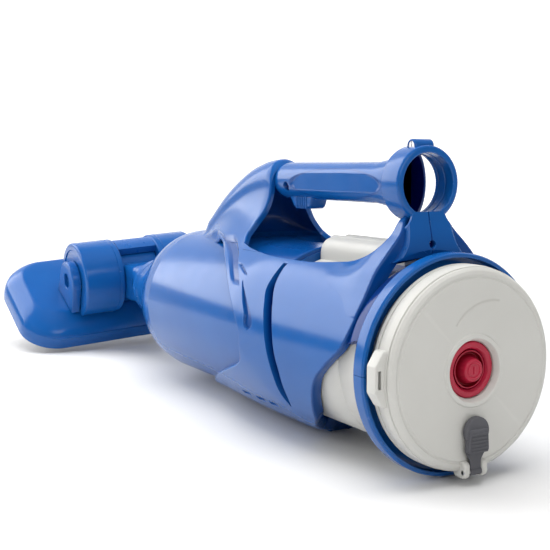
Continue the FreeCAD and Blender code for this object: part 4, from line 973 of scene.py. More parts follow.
@dataclass(frozen=True)
class RearEnd:
    """White motor can and cap, and the blue clamp collar between them and the shells.

    The cap is a turned form with a soft groove round its face, a raised lip round the dish of the power button,
    and a faint arc let into the face.  It carries a slotted tab on its left and the strap's lug below.
    """

    face_r: float = 57.8
    lip_r: float = 23.7
    bezel_r: float = 18.5
    hole_r: float = 16.0
    arc_middle: tuple = (12.9, 10.7)
    arc_r: float = 33.0
    arc_span: tuple = (-55.6, 11.5)
    tab: tuple = ((-62.5, -17.5, 0), (-66.5, -17.0, 2.5), (-72.0, -8.2, 2.5), (-72.0, 8.2, 2.5), (-66.5, 17.0, 2.5),
                  (-62.5, 17.5, 0))
    tab_slot: tuple = (-69.9, -67.6, 5.7)
    lug_half_w: float = 9.5
    lug_low_z: float = -68.2
    spine_half_w: float = 16.0
    spine_top: float = 75.0
    spine_ribs: tuple = (-6.5, 6.5)

    def cap(self, axes: Axes) -> None:
        """The end cap."""
        lip = filleted([(7.6, self.hole_r, 0), (4.9, self.hole_r, 0.3), (4.9, self.bezel_r, 0.2),
                        (2.6, self.bezel_r, 0.5), (-1.2, 20.4, 0.9), (-1.2, 22.9, 0.9), (0.0, self.lip_r, 0.5),
                        (0.0, 27.6, 0)])
        face_radii = np.linspace(27.9, self.face_r, 100)
        face = np.stack([0 * face_radii, face_radii], -1)
        rim = filleted([(0.0, self.face_r + 0.1, 0), (0.75, 58.7, 0.7), (0.75, 59.5, 0.7), (0.15, 60.4, 1.0),
                        (0.9, 62.7, 2.0), (2.6, 64.4, 2.0), (3.5, 64.8, 0.3), (3.75, 64.2, 0.2), (4.1, 64.2, 0.2),
                        (4.4, 65.3, 0.4), (9.0, 65.95, 1.0), (13.2, 66.0, 0.6), (14.0, 65.2, 0.4), (14.0, 61.6, 0.3),
                        (3.5, 61.6, 0.5), (3.5, 28.0, 0.3), (7.6, 28.0, 0.3), (7.6, self.hole_r, 0)])
        profile = np.vstack([lip, face, rim])
        a = np.radians(np.linspace(0, 360, 360, endpoint=False))
        x, z = profile[:, 1:] * np.sin(a), profile[:, 1:] * np.cos(a)
        from_middle = np.hypot(x - self.arc_middle[0], z - self.arc_middle[1])
        turn = np.degrees(np.arctan2(x - self.arc_middle[0], z - self.arc_middle[1]))
        on_face = (profile[:, :1] == 0.0) & (profile[:, 1:] > 27.0)
        groove = (1 - smooth_step(0.35, 1.1, np.abs(from_middle - self.arc_r))) * on_face
        groove = groove * smooth_step(self.arc_span[0] - 1, self.arc_span[0] + 1, turn)
        groove = groove * (1 - smooth_step(self.arc_span[1] - 1, self.arc_span[1] + 1, turn))
        y = profile[:, :1] + 0.35 * groove
        # painted shade in the arc's groove
        piece = Piece("end_cap_body").grid(np.stack([x, y, z], -1), around=True, mark=0.5 * groove)
        outer = filleted(list(self.tab), steps=10)
        outer = evenly(outer, 200)
        low, high, half = self.tab_slot
        middle = np.array([(low + high) / 2, 0.0])
        ray = outer - middle
        reach = np.minimum((high - low) / 2 / np.maximum(np.abs(ray[:, :1]), 1e-6), half / np.maximum(np.abs(ray[:, 1:]), 1e-6))
        inner = middle + ray * reach
        loops = [(inner, 13.8), (outer, 13.8), (outer, 5.8), (padded_outline(outer, -0.5), 5.1), (inner, 5.1), (inner, 13.8)]
        soft = [(outer * (1 - k) + inner * k, h) for k, h in ((0.06, 5.2), (0.14, 5.0))]
        loops = loops[:3] + soft + loops[4:]
        piece.grid(np.stack([np.column_stack([p[:, 0], np.full(len(p), h), p[:, 1]]) for p, h in loops]), around=True)
        for side in (-1, 1):
            cheek = rounded_rectangle(5.8, self.lug_low_z, -57.0, 3.4) + (1.5, 0)
            x0, x1 = sorted((side * 4.75, side * self.lug_half_w))
            piece.grid(sideways(pillow(cheek, x0, x1, 1.4)), around=True)
        web = rounded_rectangle(4.2, self.lug_low_z + 0.4, -57.0, 2.0) + (4.9, 0)
        piece.grid(sideways(pillow(web, -5.0, 5.0, 0.4)), around=True)
        piece.built(axes, "body", [SATIN_WHITE], "warm_white", ("end_cap",), sharp=42)

    def can(self, axes: Axes) -> None:
        """The motor can with its rear flange, two moulded steps and the wiring spine on top."""
        outside = filleted([(6.0, 57.5, 0), (6.0, 60.4, 0.3), (14.3, 60.4, 0.1), (14.3, 66.0, 0.5), (17.5, 66.0, 0.5),
                            (17.5, 60.5, 0.4), (62.0, 60.5, 0), (62.5, 60.1, 0.2), (63.3, 60.1, 0.2), (63.8, 60.5, 0),
                            (118.0, 60.5, 0), (118.5, 60.1, 0.2), (119.3, 60.1, 0.2), (119.8, 60.5, 0),
                            (154.0, 60.5, 1.5), (158.0, 56.5, 1.5), (158.0, 6.4, 0.2), (155.0, 6.4, 0.2),
                            (155.0, 55.0, 0.4), (152.0, 57.5, 0.4), (6.0, 57.5, 0)], steps=4)
        piece = Piece("motor_can").lathe(outside, segments=240)
        y = np.concatenate([np.linspace(52, 56, 9), np.linspace(58, 150, 40), 150 + 8 * np.sin(np.linspace(0, 1.55, 12)[1:])])
        end = np.sqrt(np.clip(1 - ((y - 150) / 8) ** 2, 0, 1)) * (y > 150) + (y <= 150)
        half, tall = self.spine_half_w * (0.8 + 0.2 * end), (self.spine_top - 58.0) * (0.35 + 0.65 * end)
        x, z = superellipse(half, tall, np.full(len(y), 4.0), 160)
        z = np.maximum(z, 0)
        ribs = sum(1 - smooth_step(0.9, 2.2, np.abs(x - at)) for at in self.spine_ribs)
        z = z + 1.3 * ribs * (z > 8) * end[:, None]
        tube = np.stack([x, y[:, None] + 0 * x, z + 58.0], -1)
        ends = [tube[:1] * (0, 1, 1), tube[-1:] * (0, 1, 1)]
        piece.grid(np.concatenate([ends[0], tube, ends[1]]), around=True)
        piece.built(axes, "body", [SATIN_WHITE], "warm_white", ("motor_housing",), sharp=42)

    def collar(self, axes: Axes) -> None:
        """The two halves of the clamp collar."""
        profile = filleted([(17.8, 69.6, 0.2), (17.8, 71.7, 0.5), (19.2, 72.6, 0.8), (27.2, 72.6, 1.2),
                            (30.0, 71.0, 0.7), (30.0, 60.8, 0.3), (26.0, 60.8, 0.3), (26.0, 69.6, 0.3)], closed=True, steps=5)
        for name, arc in (("collar_upper", (-89.88, 89.88)), ("collar_lower", (90.12, 269.88))):
            piece = sector(Piece(name + "_band"), profile, (0.0, 0.0), arc, 180)
            piece.built(axes, "body", [GLOSS_BLUE], "body_blue", (name,), sharp=35)

    def make(self, axes: Axes) -> None:
        """Can, cap and collar."""
        self.can(axes)
        self.cap(axes)
        self.collar(axes)


@dataclass(frozen=True)
class PowerButton:
    """Crimson push button in its bezel, with a raised ring-and-bar mark."""

    bezel_y: float = 3.0
    button_y: float = 3.8
    button_r: float = 12.5
    ring_r: float = 4.7
    stroke: float = 0.55

    def bezel(self, axes: Axes) -> None:
        """The bezel: a flat band that rolls in to the button's well."""
        y = self.bezel_y
        profile = filleted([(y + 6.4, 12.9, 0.3), (y + 1.8, 12.9, 0.9), (y, 14.3, 0.8), (y, 17.3, 0.8), (y + 0.9, 18.2, 0.5),
                            (y + 1.9, 18.2, 0.2), (y + 1.9, 15.9, 0.3), (y + 6.4, 15.9, 0.3), (y + 6.4, 12.9, 0)])
        piece = Piece("bezel_ring").lathe(np.vstack([profile, profile[:1]]), segments=180)
        piece.built(axes, "body", [CRIMSON], "crimson", ("button_bezel",), sharp=40)

    def button(self, axes: Axes) -> None:
        """The button, slightly dished, with its mark and stem."""
        y = self.button_y
        profile = filleted([(y - 4.1, 0, 0), (y - 3.9, 6.6, 0.8), (y - 3.3, 7.3, 0.6), (y + 3.0, 9.3, 1.0), (y + 3.2, 10.6, 0.7),
                            (y + 0.5, 11.4, 0.4), (y + 0.5, 12.2, 0.5), (y + 1.8, 12.5, 0.6), (y + 7.0, 12.5, 0.3),
                            (y + 7.0, 2.5, 0.2), (y + 9.2, 2.5, 0.2), (y + 9.2, 0, 0)])
        # painted shade in the dished well between the button's rim and its raised face
        well = smooth_step(7.6, 9.0, profile[:, 1]) * (profile[:, 0] > y + 0.6) * (profile[:, 0] < y + 4.0)
        piece = Piece("power_button_cap").lathe(profile, segments=144, mark=0.9 * well[:, None])
        bump = np.radians(np.linspace(0, 360, 16, endpoint=False))
        turn = np.radians(np.linspace(0, 360, 97))[:, None]
        r = self.ring_r + self.stroke * np.cos(bump)[None]
        ring = np.stack([r * np.sin(turn), y - 4.0 - self.stroke * np.sin(bump)[None] + 0 * turn, r * np.cos(turn)], -1)
        piece.grid(ring, around=True)
        bar = pillow(rounded_rectangle(self.stroke, -2.5, 2.5, 0.5), y - 4.7, y - 3.6, 0.35)
        piece.grid(upright(bar), around=True)
        piece.built(axes, "button", [CRIMSON], "crimson", ("power_button",), sharp=40)

    def make(self, axes: Axes) -> None:
        """Bezel and button."""
        self.bezel(axes)
        self.button(axes)


@dataclass(frozen=True)
class ChargePlug:
    """Rubber plug of the charging port: a round head, a ribbed tab and a strap to its pin."""

    head_z: float = -38.0
    pivot: tuple = (-2.4, -64.0)
    tab_low_z: float = -51.5
    ribs: int = 6

    def make(self, axes: Axes) -> None:
        """Head, stem, tab with its ribs, strap and eye."""
        head = filleted([(-5.4, 0, 0), (-5.4, 9.4, 1.4), (-1.5, 9.4, 0.5), (-1.5, 3.6, 0.3), (2.4, 3.6, 0.5), (2.4, 0, 0)])
        piece = Piece("plug_body").lathe(head, centre=(0.0, self.head_z), segments=96)
        low, top = self.tab_low_z, self.head_z + 2.0
        tab = filleted([(-7.4, top, 2.5), (-8.6, low, 2.6), (8.6, low, 2.6), (7.4, top, 2.5)], closed=True, steps=8)
        piece.grid(upright(pillow(tab, -6.7, -1.8, 1.1)), around=True)
        for rib in range(self.ribs):
            z = top - 3.4 - 2.2 * rib
            piece.grid(upright(pillow(rounded_rectangle(6.9, z - 0.62, z + 0.62, 0.55), -7.38, -6.0, 0.5)), around=True)
        py, pz = self.pivot
        strap = filleted([(-8.0, low + 2.4, 0), (-8.0, low + 0.6, 2.0), (-4.4, low - 5.0, 4.0), (-4.4, pz, 0.5), (4.4, pz, 0.5),
                          (4.4, low - 5.0, 4.0), (8.0, low + 0.6, 2.0), (8.0, low + 2.4, 0)], steps=6)
        piece.grid(upright(pillow(strap, -3.6, -1.8, 0.5)), around=True)
        eye = filleted([(-4.4, 1.55, 0), (-4.4, 2.4, 0.4), (4.4, 2.4, 0.4), (4.4, 1.55, 0), (-4.4, 1.55, 0)])
        a = np.radians(np.linspace(0, 360, 48, endpoint=False))
        piece.grid(np.stack([eye[:, :1] + 0 * a, py + eye[:, 1:] * np.sin(a), pz + eye[:, 1:] * np.cos(a)], -1), around=True)
        piece.built(axes, "plug", [RUBBER], "charcoal_rubber", ("charge_plug",), sharp=42)


# ---- pole ring, post and grip -------------------------------------------------------------------------------
@dataclass(frozen=True)
class PoleMount:
    """The A-shaped post's rear face and the clamp ring on top of it."""

    ring_z: float = 115.5
    ring_r: float = 25.3
    bore_r: float = 20.5
    ring_y: tuple = (48.0, 66.8)
    saddle_deg: float = 71.0
    saddle_fan: float = 12.0
    screw: tuple = (57.4, 140.4)
    screw_r: float = 3.2
    hole: tuple = (76.3, 2.3)
    boss_r: float = 4.6
    boss_half_w: float = 8.0
    outer: tuple = ((62, 42.5), (69, 37.0), (75, 31.0), (82, 24.6), (93.5, 14.4), (97.5, 13.2))
    panel: tuple = ((62, 31.0), (64, 30.0), (70, 25.0), (78, 20.4), (84, 19.0), (91, 18.0), (97.5, 13.0))
    face_y: tuple = ((62, 42.2), (70, 42.2), (80, 43.8), (92, 46.8), (97.5, 47.9))

    def ring(self, axes: Axes) -> None:
        """Two halves of the ring, each with its half of the boss."""
        y0, y1 = self.ring_y
        profile = filleted([(y0, self.bore_r, 0.8), (y0, self.ring_r, 2.6), (y1, self.ring_r, 1.6), (y1, self.bore_r, 0.6),
                            (64.0, self.bore_r, 0), (63.6, self.bore_r + 0.5, 0), (62.4, self.bore_r + 0.5, 0),
                            (62.0, self.bore_r, 0), (57.0, self.bore_r, 0), (56.6, self.bore_r + 0.5, 0),
                            (55.4, self.bore_r + 0.5, 0), (55.0, self.bore_r, 0)], closed=True, steps=5)
        sy, sz = self.screw
        foot = self.ring_z + 21.5
        crown = np.radians(np.linspace(-80, 80, 25))
        arch = np.stack([sy + self.boss_r * np.sin(crown), sz + self.boss_r * np.cos(crown)], -1)
        flare = filleted([(arch[-1][0], arch[-1][1], 0), (62.6, sz - 2.6, 2.0), (66.0, foot, 0)], steps=8)[1:]
        back = filleted([(48.8, foot, 0), (52.2, sz - 2.6, 2.0), (arch[0][0], arch[0][1], 0)], steps=8)[:-1]
        outline = np.vstack([arch, flare, np.linspace(flare[-1], back[0], 12)[1:-1], back])[::-1]
        for name, side, arc in (("left_ring", -1, (180.0, 360.0)), ("right_ring", 1, (0.0, 180.0))):
            piece = sector(Piece(name + "_half"), profile, (0.0, self.ring_z), arc, 140)
            slab = sideways(recessed(outline, (sy, sz), 0.0, self.boss_half_w, 1.1, self.screw_r, 5.4))
            piece.grid(slab * (side, 1, 1), around=True)
            piece.built(axes, "body", [GLOSS_BLUE], "body_blue", (name,), sharp=40)

    def post(self, axes: Axes) -> None:
        """The rear face of the post: a flat panel between two hollow channels, split down its middle."""
        z = np.linspace(62.0, 97.5, 96)[:, None]
        u = np.linspace(-1, 1, 181)[None]
        outer, panel, face = (smooth_curve(*np.array(t).T, z) for t in (self.outer, self.panel, self.face_y))
        x = outer * u
        gap = np.maximum(outer - panel, 0.6)
        into = np.clip((np.abs(x) - panel) / gap, 0, 1)
        hollow = np.sin(math.pi * into) ** 0.6
        depth = 5.2 * hollow * smooth_step(0.6, 3.0, gap) + 4.2 * smooth_step(0.0, 1.0, into)
        rounding = 0.8 * smooth_step(panel - 1.6, panel, np.abs(x)) * (into <= 0)
        hole = 1 - smooth_step(self.hole[1] - 0.4, self.hole[1] + 0.3, np.hypot(x, z - self.hole[0]))
        split = (1 - smooth_step(0.15, 0.45, np.abs(x))) * (into <= 0)
        y = face + depth + rounding + 4.0 * hole + 0.7 * split
        z = np.maximum(z, np.where(z < 75, np.sqrt(np.maximum(72.7**2 - x**2, 0.0)), z) - 0.0 * x)
        # painted shade in the side channels and the hole, and a dark joint along the split
        mark = np.clip(0.9 * hollow * smooth_step(0.6, 3.0, gap) + hole + 0.8 * split, 0, 1)
        front = np.stack([x, y, z + 0 * x], -1)
        rear = front[:, ::-1] + (0, 1.6, 0)
        loop = np.concatenate([front, rear], 1)
        marks = np.concatenate([mark, mark[:, ::-1]], 1)
        ends = [np.broadcast_to(loop[k].mean(0), loop[k].shape)[None] for k in (0, -1)]
        piece = Piece("post_face").grid(np.concatenate([ends[0], loop, ends[1]]), around=True,
                                        mark=np.vstack([marks[:1], marks, marks[-1:]]))
        piece.built(axes, "body", [GLOSS_BLUE], "body_blue", (), sharp=42)

    def saddle(self, axes: Axes) -> None:
        """The barrel's rear margin behind the post, between the shells' flanks and the collar, darkened all over with
        painted shade.
        """
        profile = filleted([(30.3, 61.3, 0.3), (30.3, 65.7, 0.9), (44.0, 65.7, 0.5), (48.0, 64.2, 0.5), (74.0, 64.2, 0.3),
                            (74.0, 61.3, 0.3)], closed=True, steps=5)
        reach = self.saddle_deg + self.saddle_fan * (profile[:, :1] - 30.3) / 40.0
        a = np.radians(reach * np.linspace(-1, 1, 161))
        loop = np.stack([profile[:, 1:] * np.sin(a), profile[:, :1] + 0 * a, profile[:, 1:] * np.cos(a)], -1)
        loop = np.concatenate([loop, loop[:1]]).transpose(1, 0, 2)
        ends = [np.broadcast_to(loop[k].mean(0), loop[k].shape)[None] for k in (0, -1)]
        piece = Piece("rear_saddle").grid(np.concatenate([ends[0], loop, ends[1]]))
        # painted shade: the whole margin is darkened through the recess attribute
        piece.marks = [np.full(len(m), 0.7) for m in piece.marks]
        piece.built(axes, "body", [GLOSS_BLUE], "body_blue", (), sharp=40)

    def make(self, axes: Axes) -> None:
        """Ring, post and the margin behind it."""
        self.ring(axes)
        self.post(axes)
        self.saddle(axes)


@dataclass(frozen=True)
class Grip:
    """Oval handle in two halves, bored for the end of a pole, with a flat pad on each side."""

    axis_z: float = 115.5
    bore_r: float = 9.5
    stations: tuple = ((66.85, 12.4, 24.6), (72, 12.6, 23.0), (80, 12.9, 19.4), (90, 13.2, 16.2), (104, 13.4, 14.6),
                       (140, 13.6, 14.4), (190, 13.4, 14.4), (222, 13.4, 14.4), (230, 12.6, 13.4), (234.4, 9.8, 10.6))
    pad: tuple = (84.0, 205.0, -1.6, 11.4)
    pin: tuple = (211.0, 111.2, 3.2)
    lug_box: tuple = (181.0, 214.0, 94.6, 103.5, 7.6)
    lug_ribs: int = 6

    def half(self, name: str, side: int, axes: Axes) -> None:
        """One half.

        Args:
            name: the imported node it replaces.
            side: -1 for left, 1 for right.
            axes: the body's axes.
        """
        rows = np.array(self.stations)
        y = np.unique(np.concatenate([np.linspace(rows[0, 0], 218, 190), np.linspace(218, rows[-1, 0], 46)]))
        half_w, half_h = smooth_curve(rows[:, 0], rows[:, 1], y)[:, None], smooth_curve(rows[:, 0], rows[:, 2], y)[:, None]
        a = np.radians(np.linspace(0, 180, 121))[None]
        x, z = half_w * np.sin(a), half_h * np.cos(a)
        y = np.broadcast_to(y[:, None], x.shape)
        pad_low, pad_high, pad_z, pad_half = self.pad
        middle, reach = (pad_low + pad_high) / 2, (pad_high - pad_low) / 2
        beyond = np.hypot((y - middle) / reach, (z - pad_z) / pad_half)
        on_pad = 1 - smooth_step(0.93, 1.02, beyond)
        ring = 1 - smooth_step(0.02, 0.06, np.abs(beyond - 0.98))
        x = x * (1 - on_pad) + np.minimum(x, 12.0 - 0.0 * z) * on_pad
        hole = 1 - smooth_step(self.pin[2] - 0.4, self.pin[2] + 0.4, np.hypot(y - self.pin[0], z + self.axis_z - self.pin[1]))
        x = x - np.minimum(3.4, x) * hole
        outside = np.stack([x, y, z + self.axis_z], -1)
        bore = np.stack([self.bore_r * np.sin(a), 0 * a, self.axis_z + self.bore_r * np.cos(a)], -1)
        tip = np.broadcast_to([0.0, 200.0, self.axis_z], bore.shape)
        mouth = outside[:1]
        hub = np.array([0.0, 0.0, self.axis_z])
        cup = [(mouth - hub) * (share, 0, share) + hub + (0, at, 0) for share, at in ((0.62, 84.0), (0.84, 74.0), (0.90, 67.6))]
        inside = np.concatenate([tip, bore + (0, 200.0, 0), bore + (0, 100.0, 0), *cup])
        front = np.broadcast_to([0.0, rows[-1, 0], self.axis_z], bore.shape)
        nearly = outside[-1:] * 0.75 + front * 0.25
        grid = np.concatenate([inside, outside, nearly, front])
        # painted shade: full inside the bore and in the pin's hole, faint along the pad's outline
        marks = np.zeros(grid.shape[:2])
        marks[:len(inside)] = 1.0
        marks[len(inside):-2] = np.clip(0.25 * ring + hole, 0, 1)
        piece = Piece(name + "_half").grid(grid * (side, 1, 1), around=True, mark=marks)
        piece.built(axes, "body", [GLOSS_BLUE], "body_blue", (name,), sharp=42)

    def lug(self, axes: Axes) -> None:
        """The ribbed lug under the grip's front end."""
        y0, y1, low, top, half_w = self.lug_box
        side = filleted([(y0, top, 0), (y0 + 3.0, low, 4.0), (y1 - 6.0, low, 5.0), (y1, top, 0)], steps=8)
        piece = Piece("lug_body").grid(sideways(pillow(side, -half_w, half_w, 2.2)), around=True)
        for at in np.linspace(y0 + 8.0, y1 - 11.0, self.lug_ribs):
            rib = rounded_rectangle(0.8, low - 0.6, top, 0.7) + (at, 0)
            piece.grid(sideways(pillow(rib, -half_w - 0.6, half_w + 0.6, 0.6)), around=True)
        piece.built(axes, "body", [GLOSS_BLUE], "body_blue", ("grip_lug",), sharp=42)

    def make(self, axes: Axes) -> None:
        """Both halves and the lug."""
        self.half("left_grip", -1, axes)
        self.half("right_grip", 1, axes)
        self.lug(axes)


# ---- nose, neck and head ------------------------------------------------------------------------------------
@dataclass(frozen=True)
class Nose:
    """Nose of the barrel: a straight skirt, a dome and the snout that takes the neck."""

    skirt_r: float = NOSE_R
    skirt_y0: float = 165.0
    dome: tuple = ((371, 64.4), (384, 63.2), (400, 58.9), (418, 51.5), (436, 42.3), (452, 34.8), (464, 31.2), (474, 30.0))
    snout_y1: float = 490.0
    bore_r: float = 24.6
    wall: float = 3.0

    def raised(self, points: np.ndarray) -> np.ndarray:
        """The top of the nose lifted a little above round, fading towards the skirt and the snout."""
        lift = NOSE_LIFT * smooth_step(10, 60, points[:, 2]) * smooth_step(250, 335, points[:, 1])
        return points + (lift * (1 - smooth_step(440, 485, points[:, 1])))[:, None] * (0, 0, 1)

    def make(self, axes: Axes) -> None:
        """The nose: outside from the skirt to the snout, then back along the inside."""
        y = np.linspace(371, 474, 90)
        r = smooth_curve(*np.array(self.dome).T, y)
        outside = filleted([(self.skirt_y0, 61.5, 0.2), (self.skirt_y0, self.skirt_r, 0.6),
                            (370.0, self.skirt_r, 0)], steps=4)
        snout = filleted([(476.0, 30.0, 0), (484.0, 30.0, 0), (484.4, 29.6, 0.2), (485.4, 29.6, 0.2), (485.8, 30.0, 0),
                          (self.snout_y1, 30.0, 0.7), (self.snout_y1, self.bore_r, 0.4), (470.0, self.bore_r, 0)], steps=4)
        inside_y = np.linspace(466, 372, 50)
        inside = np.stack([inside_y, smooth_curve(*np.array(self.dome).T, inside_y) - self.wall], -1)
        profile = np.vstack([outside, np.stack([y, r], -1), snout, inside, [[368.0, 61.5], [self.skirt_y0, 61.5]]])
        piece = Piece("nose_body").lathe(profile, segments=240).moved(self.raised)
        piece.built(axes, "nose", [GLOSS_BLUE], "body_blue", ("nose_cone",), sharp=42)


@dataclass(frozen=True)
class Neck:
    """Elbow duct between the nose and the head: round collar, square duct and a cross drum."""

    collar_r: float = 29.4
    collar_y: tuple = (490.4, 497.0)
    half_w: float = 21.5
    drum_r: float = 30.0

    def make(self, axes: Axes) -> None:
        """Collar, blended duct and drum, all rolled with the neck."""
        y0, y1 = self.collar_y
        rows = np.array([(y0, 24.2, 24.2, 0.0, 2.0), (y0 + 0.05, 28.6, 28.6, 0.0, 2.0), (y0 + 0.9, 29.4, 29.4, 0.0, 2.0),
                         (y1 - 0.9, 29.4, 29.4, 0.0, 2.0), (y1, 28.5, 28.5, 0.0, 2.0), (y1 + 1.0, 26.0, 26.0, 0.0, 2.0),
                         (506, 25.2, 25.4, 0.3, 2.1), (513, 22.6, 22.4, 1.6, 3.2), (519, 21.5, 19.9, 2.25, 6.0),
                         (545, 21.5, 19.75, 2.25, 7.0), (572, 21.5, 19.75, 2.25, 7.0)])
        y = np.unique(np.concatenate([rows[:, 0], np.linspace(y1 + 1.0, 572, 60)]))
        half_x, half_z, lift, power = (smooth_curve(rows[:, 0], rows[:, i], y) for i in (1, 2, 3, 4))
        x, z = superellipse(half_x, half_z, power, 160)
        tube = np.stack([x, np.broadcast_to(y[:, None], x.shape), z + lift[:, None]], -1)
        ends = [tube[:1] * (0, 1, 0), tube[-1:] * (0, 1, 0) + (0, 0, 2.25)]
        piece = Piece("neck_body").grid(np.concatenate([ends[0], tube, ends[1]]), around=True)
        w, r = self.half_w, self.drum_r
        profile = filleted([(-w, 0, 0), (-w, r, 1.6), (w, r, 1.6), (w, 0, 0)])
        a = np.radians(np.linspace(0, 360, 160, endpoint=False))
        piece.grid(PIVOT + np.stack([profile[:, :1] + 0 * a, profile[:, 1:] * np.sin(a), profile[:, 1:] * np.cos(a)], -1),
                   around=True)
        for side in (-1, 1):
            chevron = np.array([(-3.2, 0.0), (0.0, 3.6), (3.2, 0.0), (3.2, 1.8), (0.0, 5.4), (-3.2, 1.8)])[::side]
            mark = pillow(chevron * (1, side) + (0.0, 540.0 + 7 * side), 21.4, 22.0, 0.2)
            piece.grid(mark, around=True)
        piece.moved(rolled).built(axes, "neck", [GLOSS_BLUE], "body_blue", ("neck",), sharp=40)


@dataclass(frozen=True)
class SuctionHead:
    """Pillow-shaped head plate with two drums and their ears.

    Args:
        slabs: z, half width, rear y, front y and corner radius of the plate's sections, in the head's axes.
    """

    slabs: tuple = ((-57, 125.0, -43.0, 90.0, 40.0), (-51.5, 124.8, -42.6, 89.8, 39.8), (-46, 124.0, -41.5, 89.0, 39.0),
                    (-40, 122.0, -37.8, 87.6, 38.0), (-35, 118.0, -32.0, 85.0, 36.0), (-30.5, 112.6, -24.5, 81.4, 33.0),
                    (-27.8, 108.0, -19.0, 78.0, 30.0))
    top_z: float = -27.0
    drum_r: float = 40.0
    drum_x: tuple = (22.0, 66.0)
    ear_x1: float = 75.0
    ear_r: float = 21.0
    cap_r: float = 8.2

    def plate(self, axes: Axes) -> None:
        """The plate: a side that rounds over into a flat top, a lip at the foot and a shallow hollow under it."""
        table = np.array(self.slabs)
        z = np.linspace(table[0, 0], table[-1, 0], 44)
        half, rear, front, corner = (smooth_curve(table[:, 0], table[:, i], z) for i in (1, 2, 3, 4))
        turn = np.radians(np.linspace(0, 90, 17))
        loops = []
        for i, (sx, sy) in enumerate(((1, 1), (-1, 1), (-1, -1), (1, -1))):
            a = turn + i * math.pi / 2
            cx = sx * (half - corner)
            cy = np.where(sy > 0, front - corner, rear + corner)
            loops.append(np.stack([cx[:, None] + corner[:, None] * np.cos(a), cy[:, None] + corner[:, None] * np.sin(a),
                                   np.broadcast_to(z[:, None], (len(z), len(a)))], -1))
        side = np.concatenate(loops, 1)
        middle = np.array([0.0, 28.0, 0.0])
        lip = side[:1] * 0.985 + middle * 0.015 * (1, 1, 0)
        lip[..., 2] = table[0, 0]
        hollow = lip * (1, 1, 0) + (0, 0, -44.0)
        floor = np.broadcast_to([0.0, 28.0, -44.0], side[:1].shape)
        crown = side[-1:] * (1, 1, 0) * 0.97 + middle * 0.03
        crown[..., 2] = self.top_z - 0.25
        flat = side[-1:] * (1, 1, 0) * 0.93 + middle * 0.07
        flat[..., 2] = self.top_z
        cap = np.broadcast_to([0.0, 28.0, self.top_z], side[:1].shape)
        piece = Piece("head_plate").grid(np.concatenate([floor, hollow, lip, side, crown, flat, cap]), around=True)
        piece.moved(head_placed).built(axes, "head", [GLOSS_BLUE], "body_blue", ("head_top",), sharp=50)

    def drum(self, name: str, side: int, axes: Axes) -> None:
        """One drum: rounded rims, a stepped outer face, cut off level with the plate's top."""
        x0, x1 = self.drum_x
        r = self.drum_r
        profile = filleted([(x0, 8.0, 0), (x0, r, 2.5), (x0 + 6.0, r, 0), (x0 + 6.3, r - 0.5, 0.2), (x0 + 7.1, r - 0.5, 0.2),
                            (x0 + 7.4, r, 0), (x1, r, 2.8), (x1, 33.0, 0.3), (x1 - 1.0, 32.4, 0.3), (x1 - 1.0, 8.0, 0)],
                           steps=5)
        reach = math.degrees(math.acos(-(abs(self.top_z) - 0.05) / r))
        piece = sector(Piece(name + "_shell"), profile, (0.0, 0.0), (-reach, reach), 200)
        piece.points = [swapped(p) * (side, 1, 1) for p in piece.points]
        piece.moved(head_placed).built(axes, "head", [GLOSS_BLUE], "body_blue", (name,), sharp=40)

    def ear(self, name: str, side: int, axes: Axes) -> None:
        """One ear: an arch that stands on the plate, with a round recess for the pivot's cap."""
        a = np.radians(np.linspace(0, 180, 61))
        arch = np.stack([self.ear_r * np.cos(a), self.ear_r * np.sin(a)], -1)
        foot = filleted([(-self.ear_r, 0, 0), (-self.ear_r - 2.0, self.top_z + 0.1, 1.0), (self.ear_r + 2.0, self.top_z + 0.1, 1.0),
                         (self.ear_r, 0, 0)], steps=6)[1:-1]
        foot = np.vstack([foot[:7], np.linspace(foot[6], foot[7], 20)[1:-1], foot[7:]])
        slab = recessed(np.vstack([arch, foot]), (0.0, 0.0), self.drum_x[1] + 0.05, self.ear_x1, 1.8, self.cap_r, 71.6)
        piece = Piece(name + "_arch").grid(sideways(slab) * (side, 1, 1), around=True)
        piece.moved(head_placed).built(axes, "head", [GLOSS_BLUE], "body_blue", (name,), sharp=40)

    def make(self, axes: Axes) -> None:
        """Plate, drums and ears."""
        self.plate(axes)
        for name, side in (("left", -1), ("right", 1)):
            self.drum(name + "_drum", side, axes)
            self.ear(name + "_ear", side, axes)




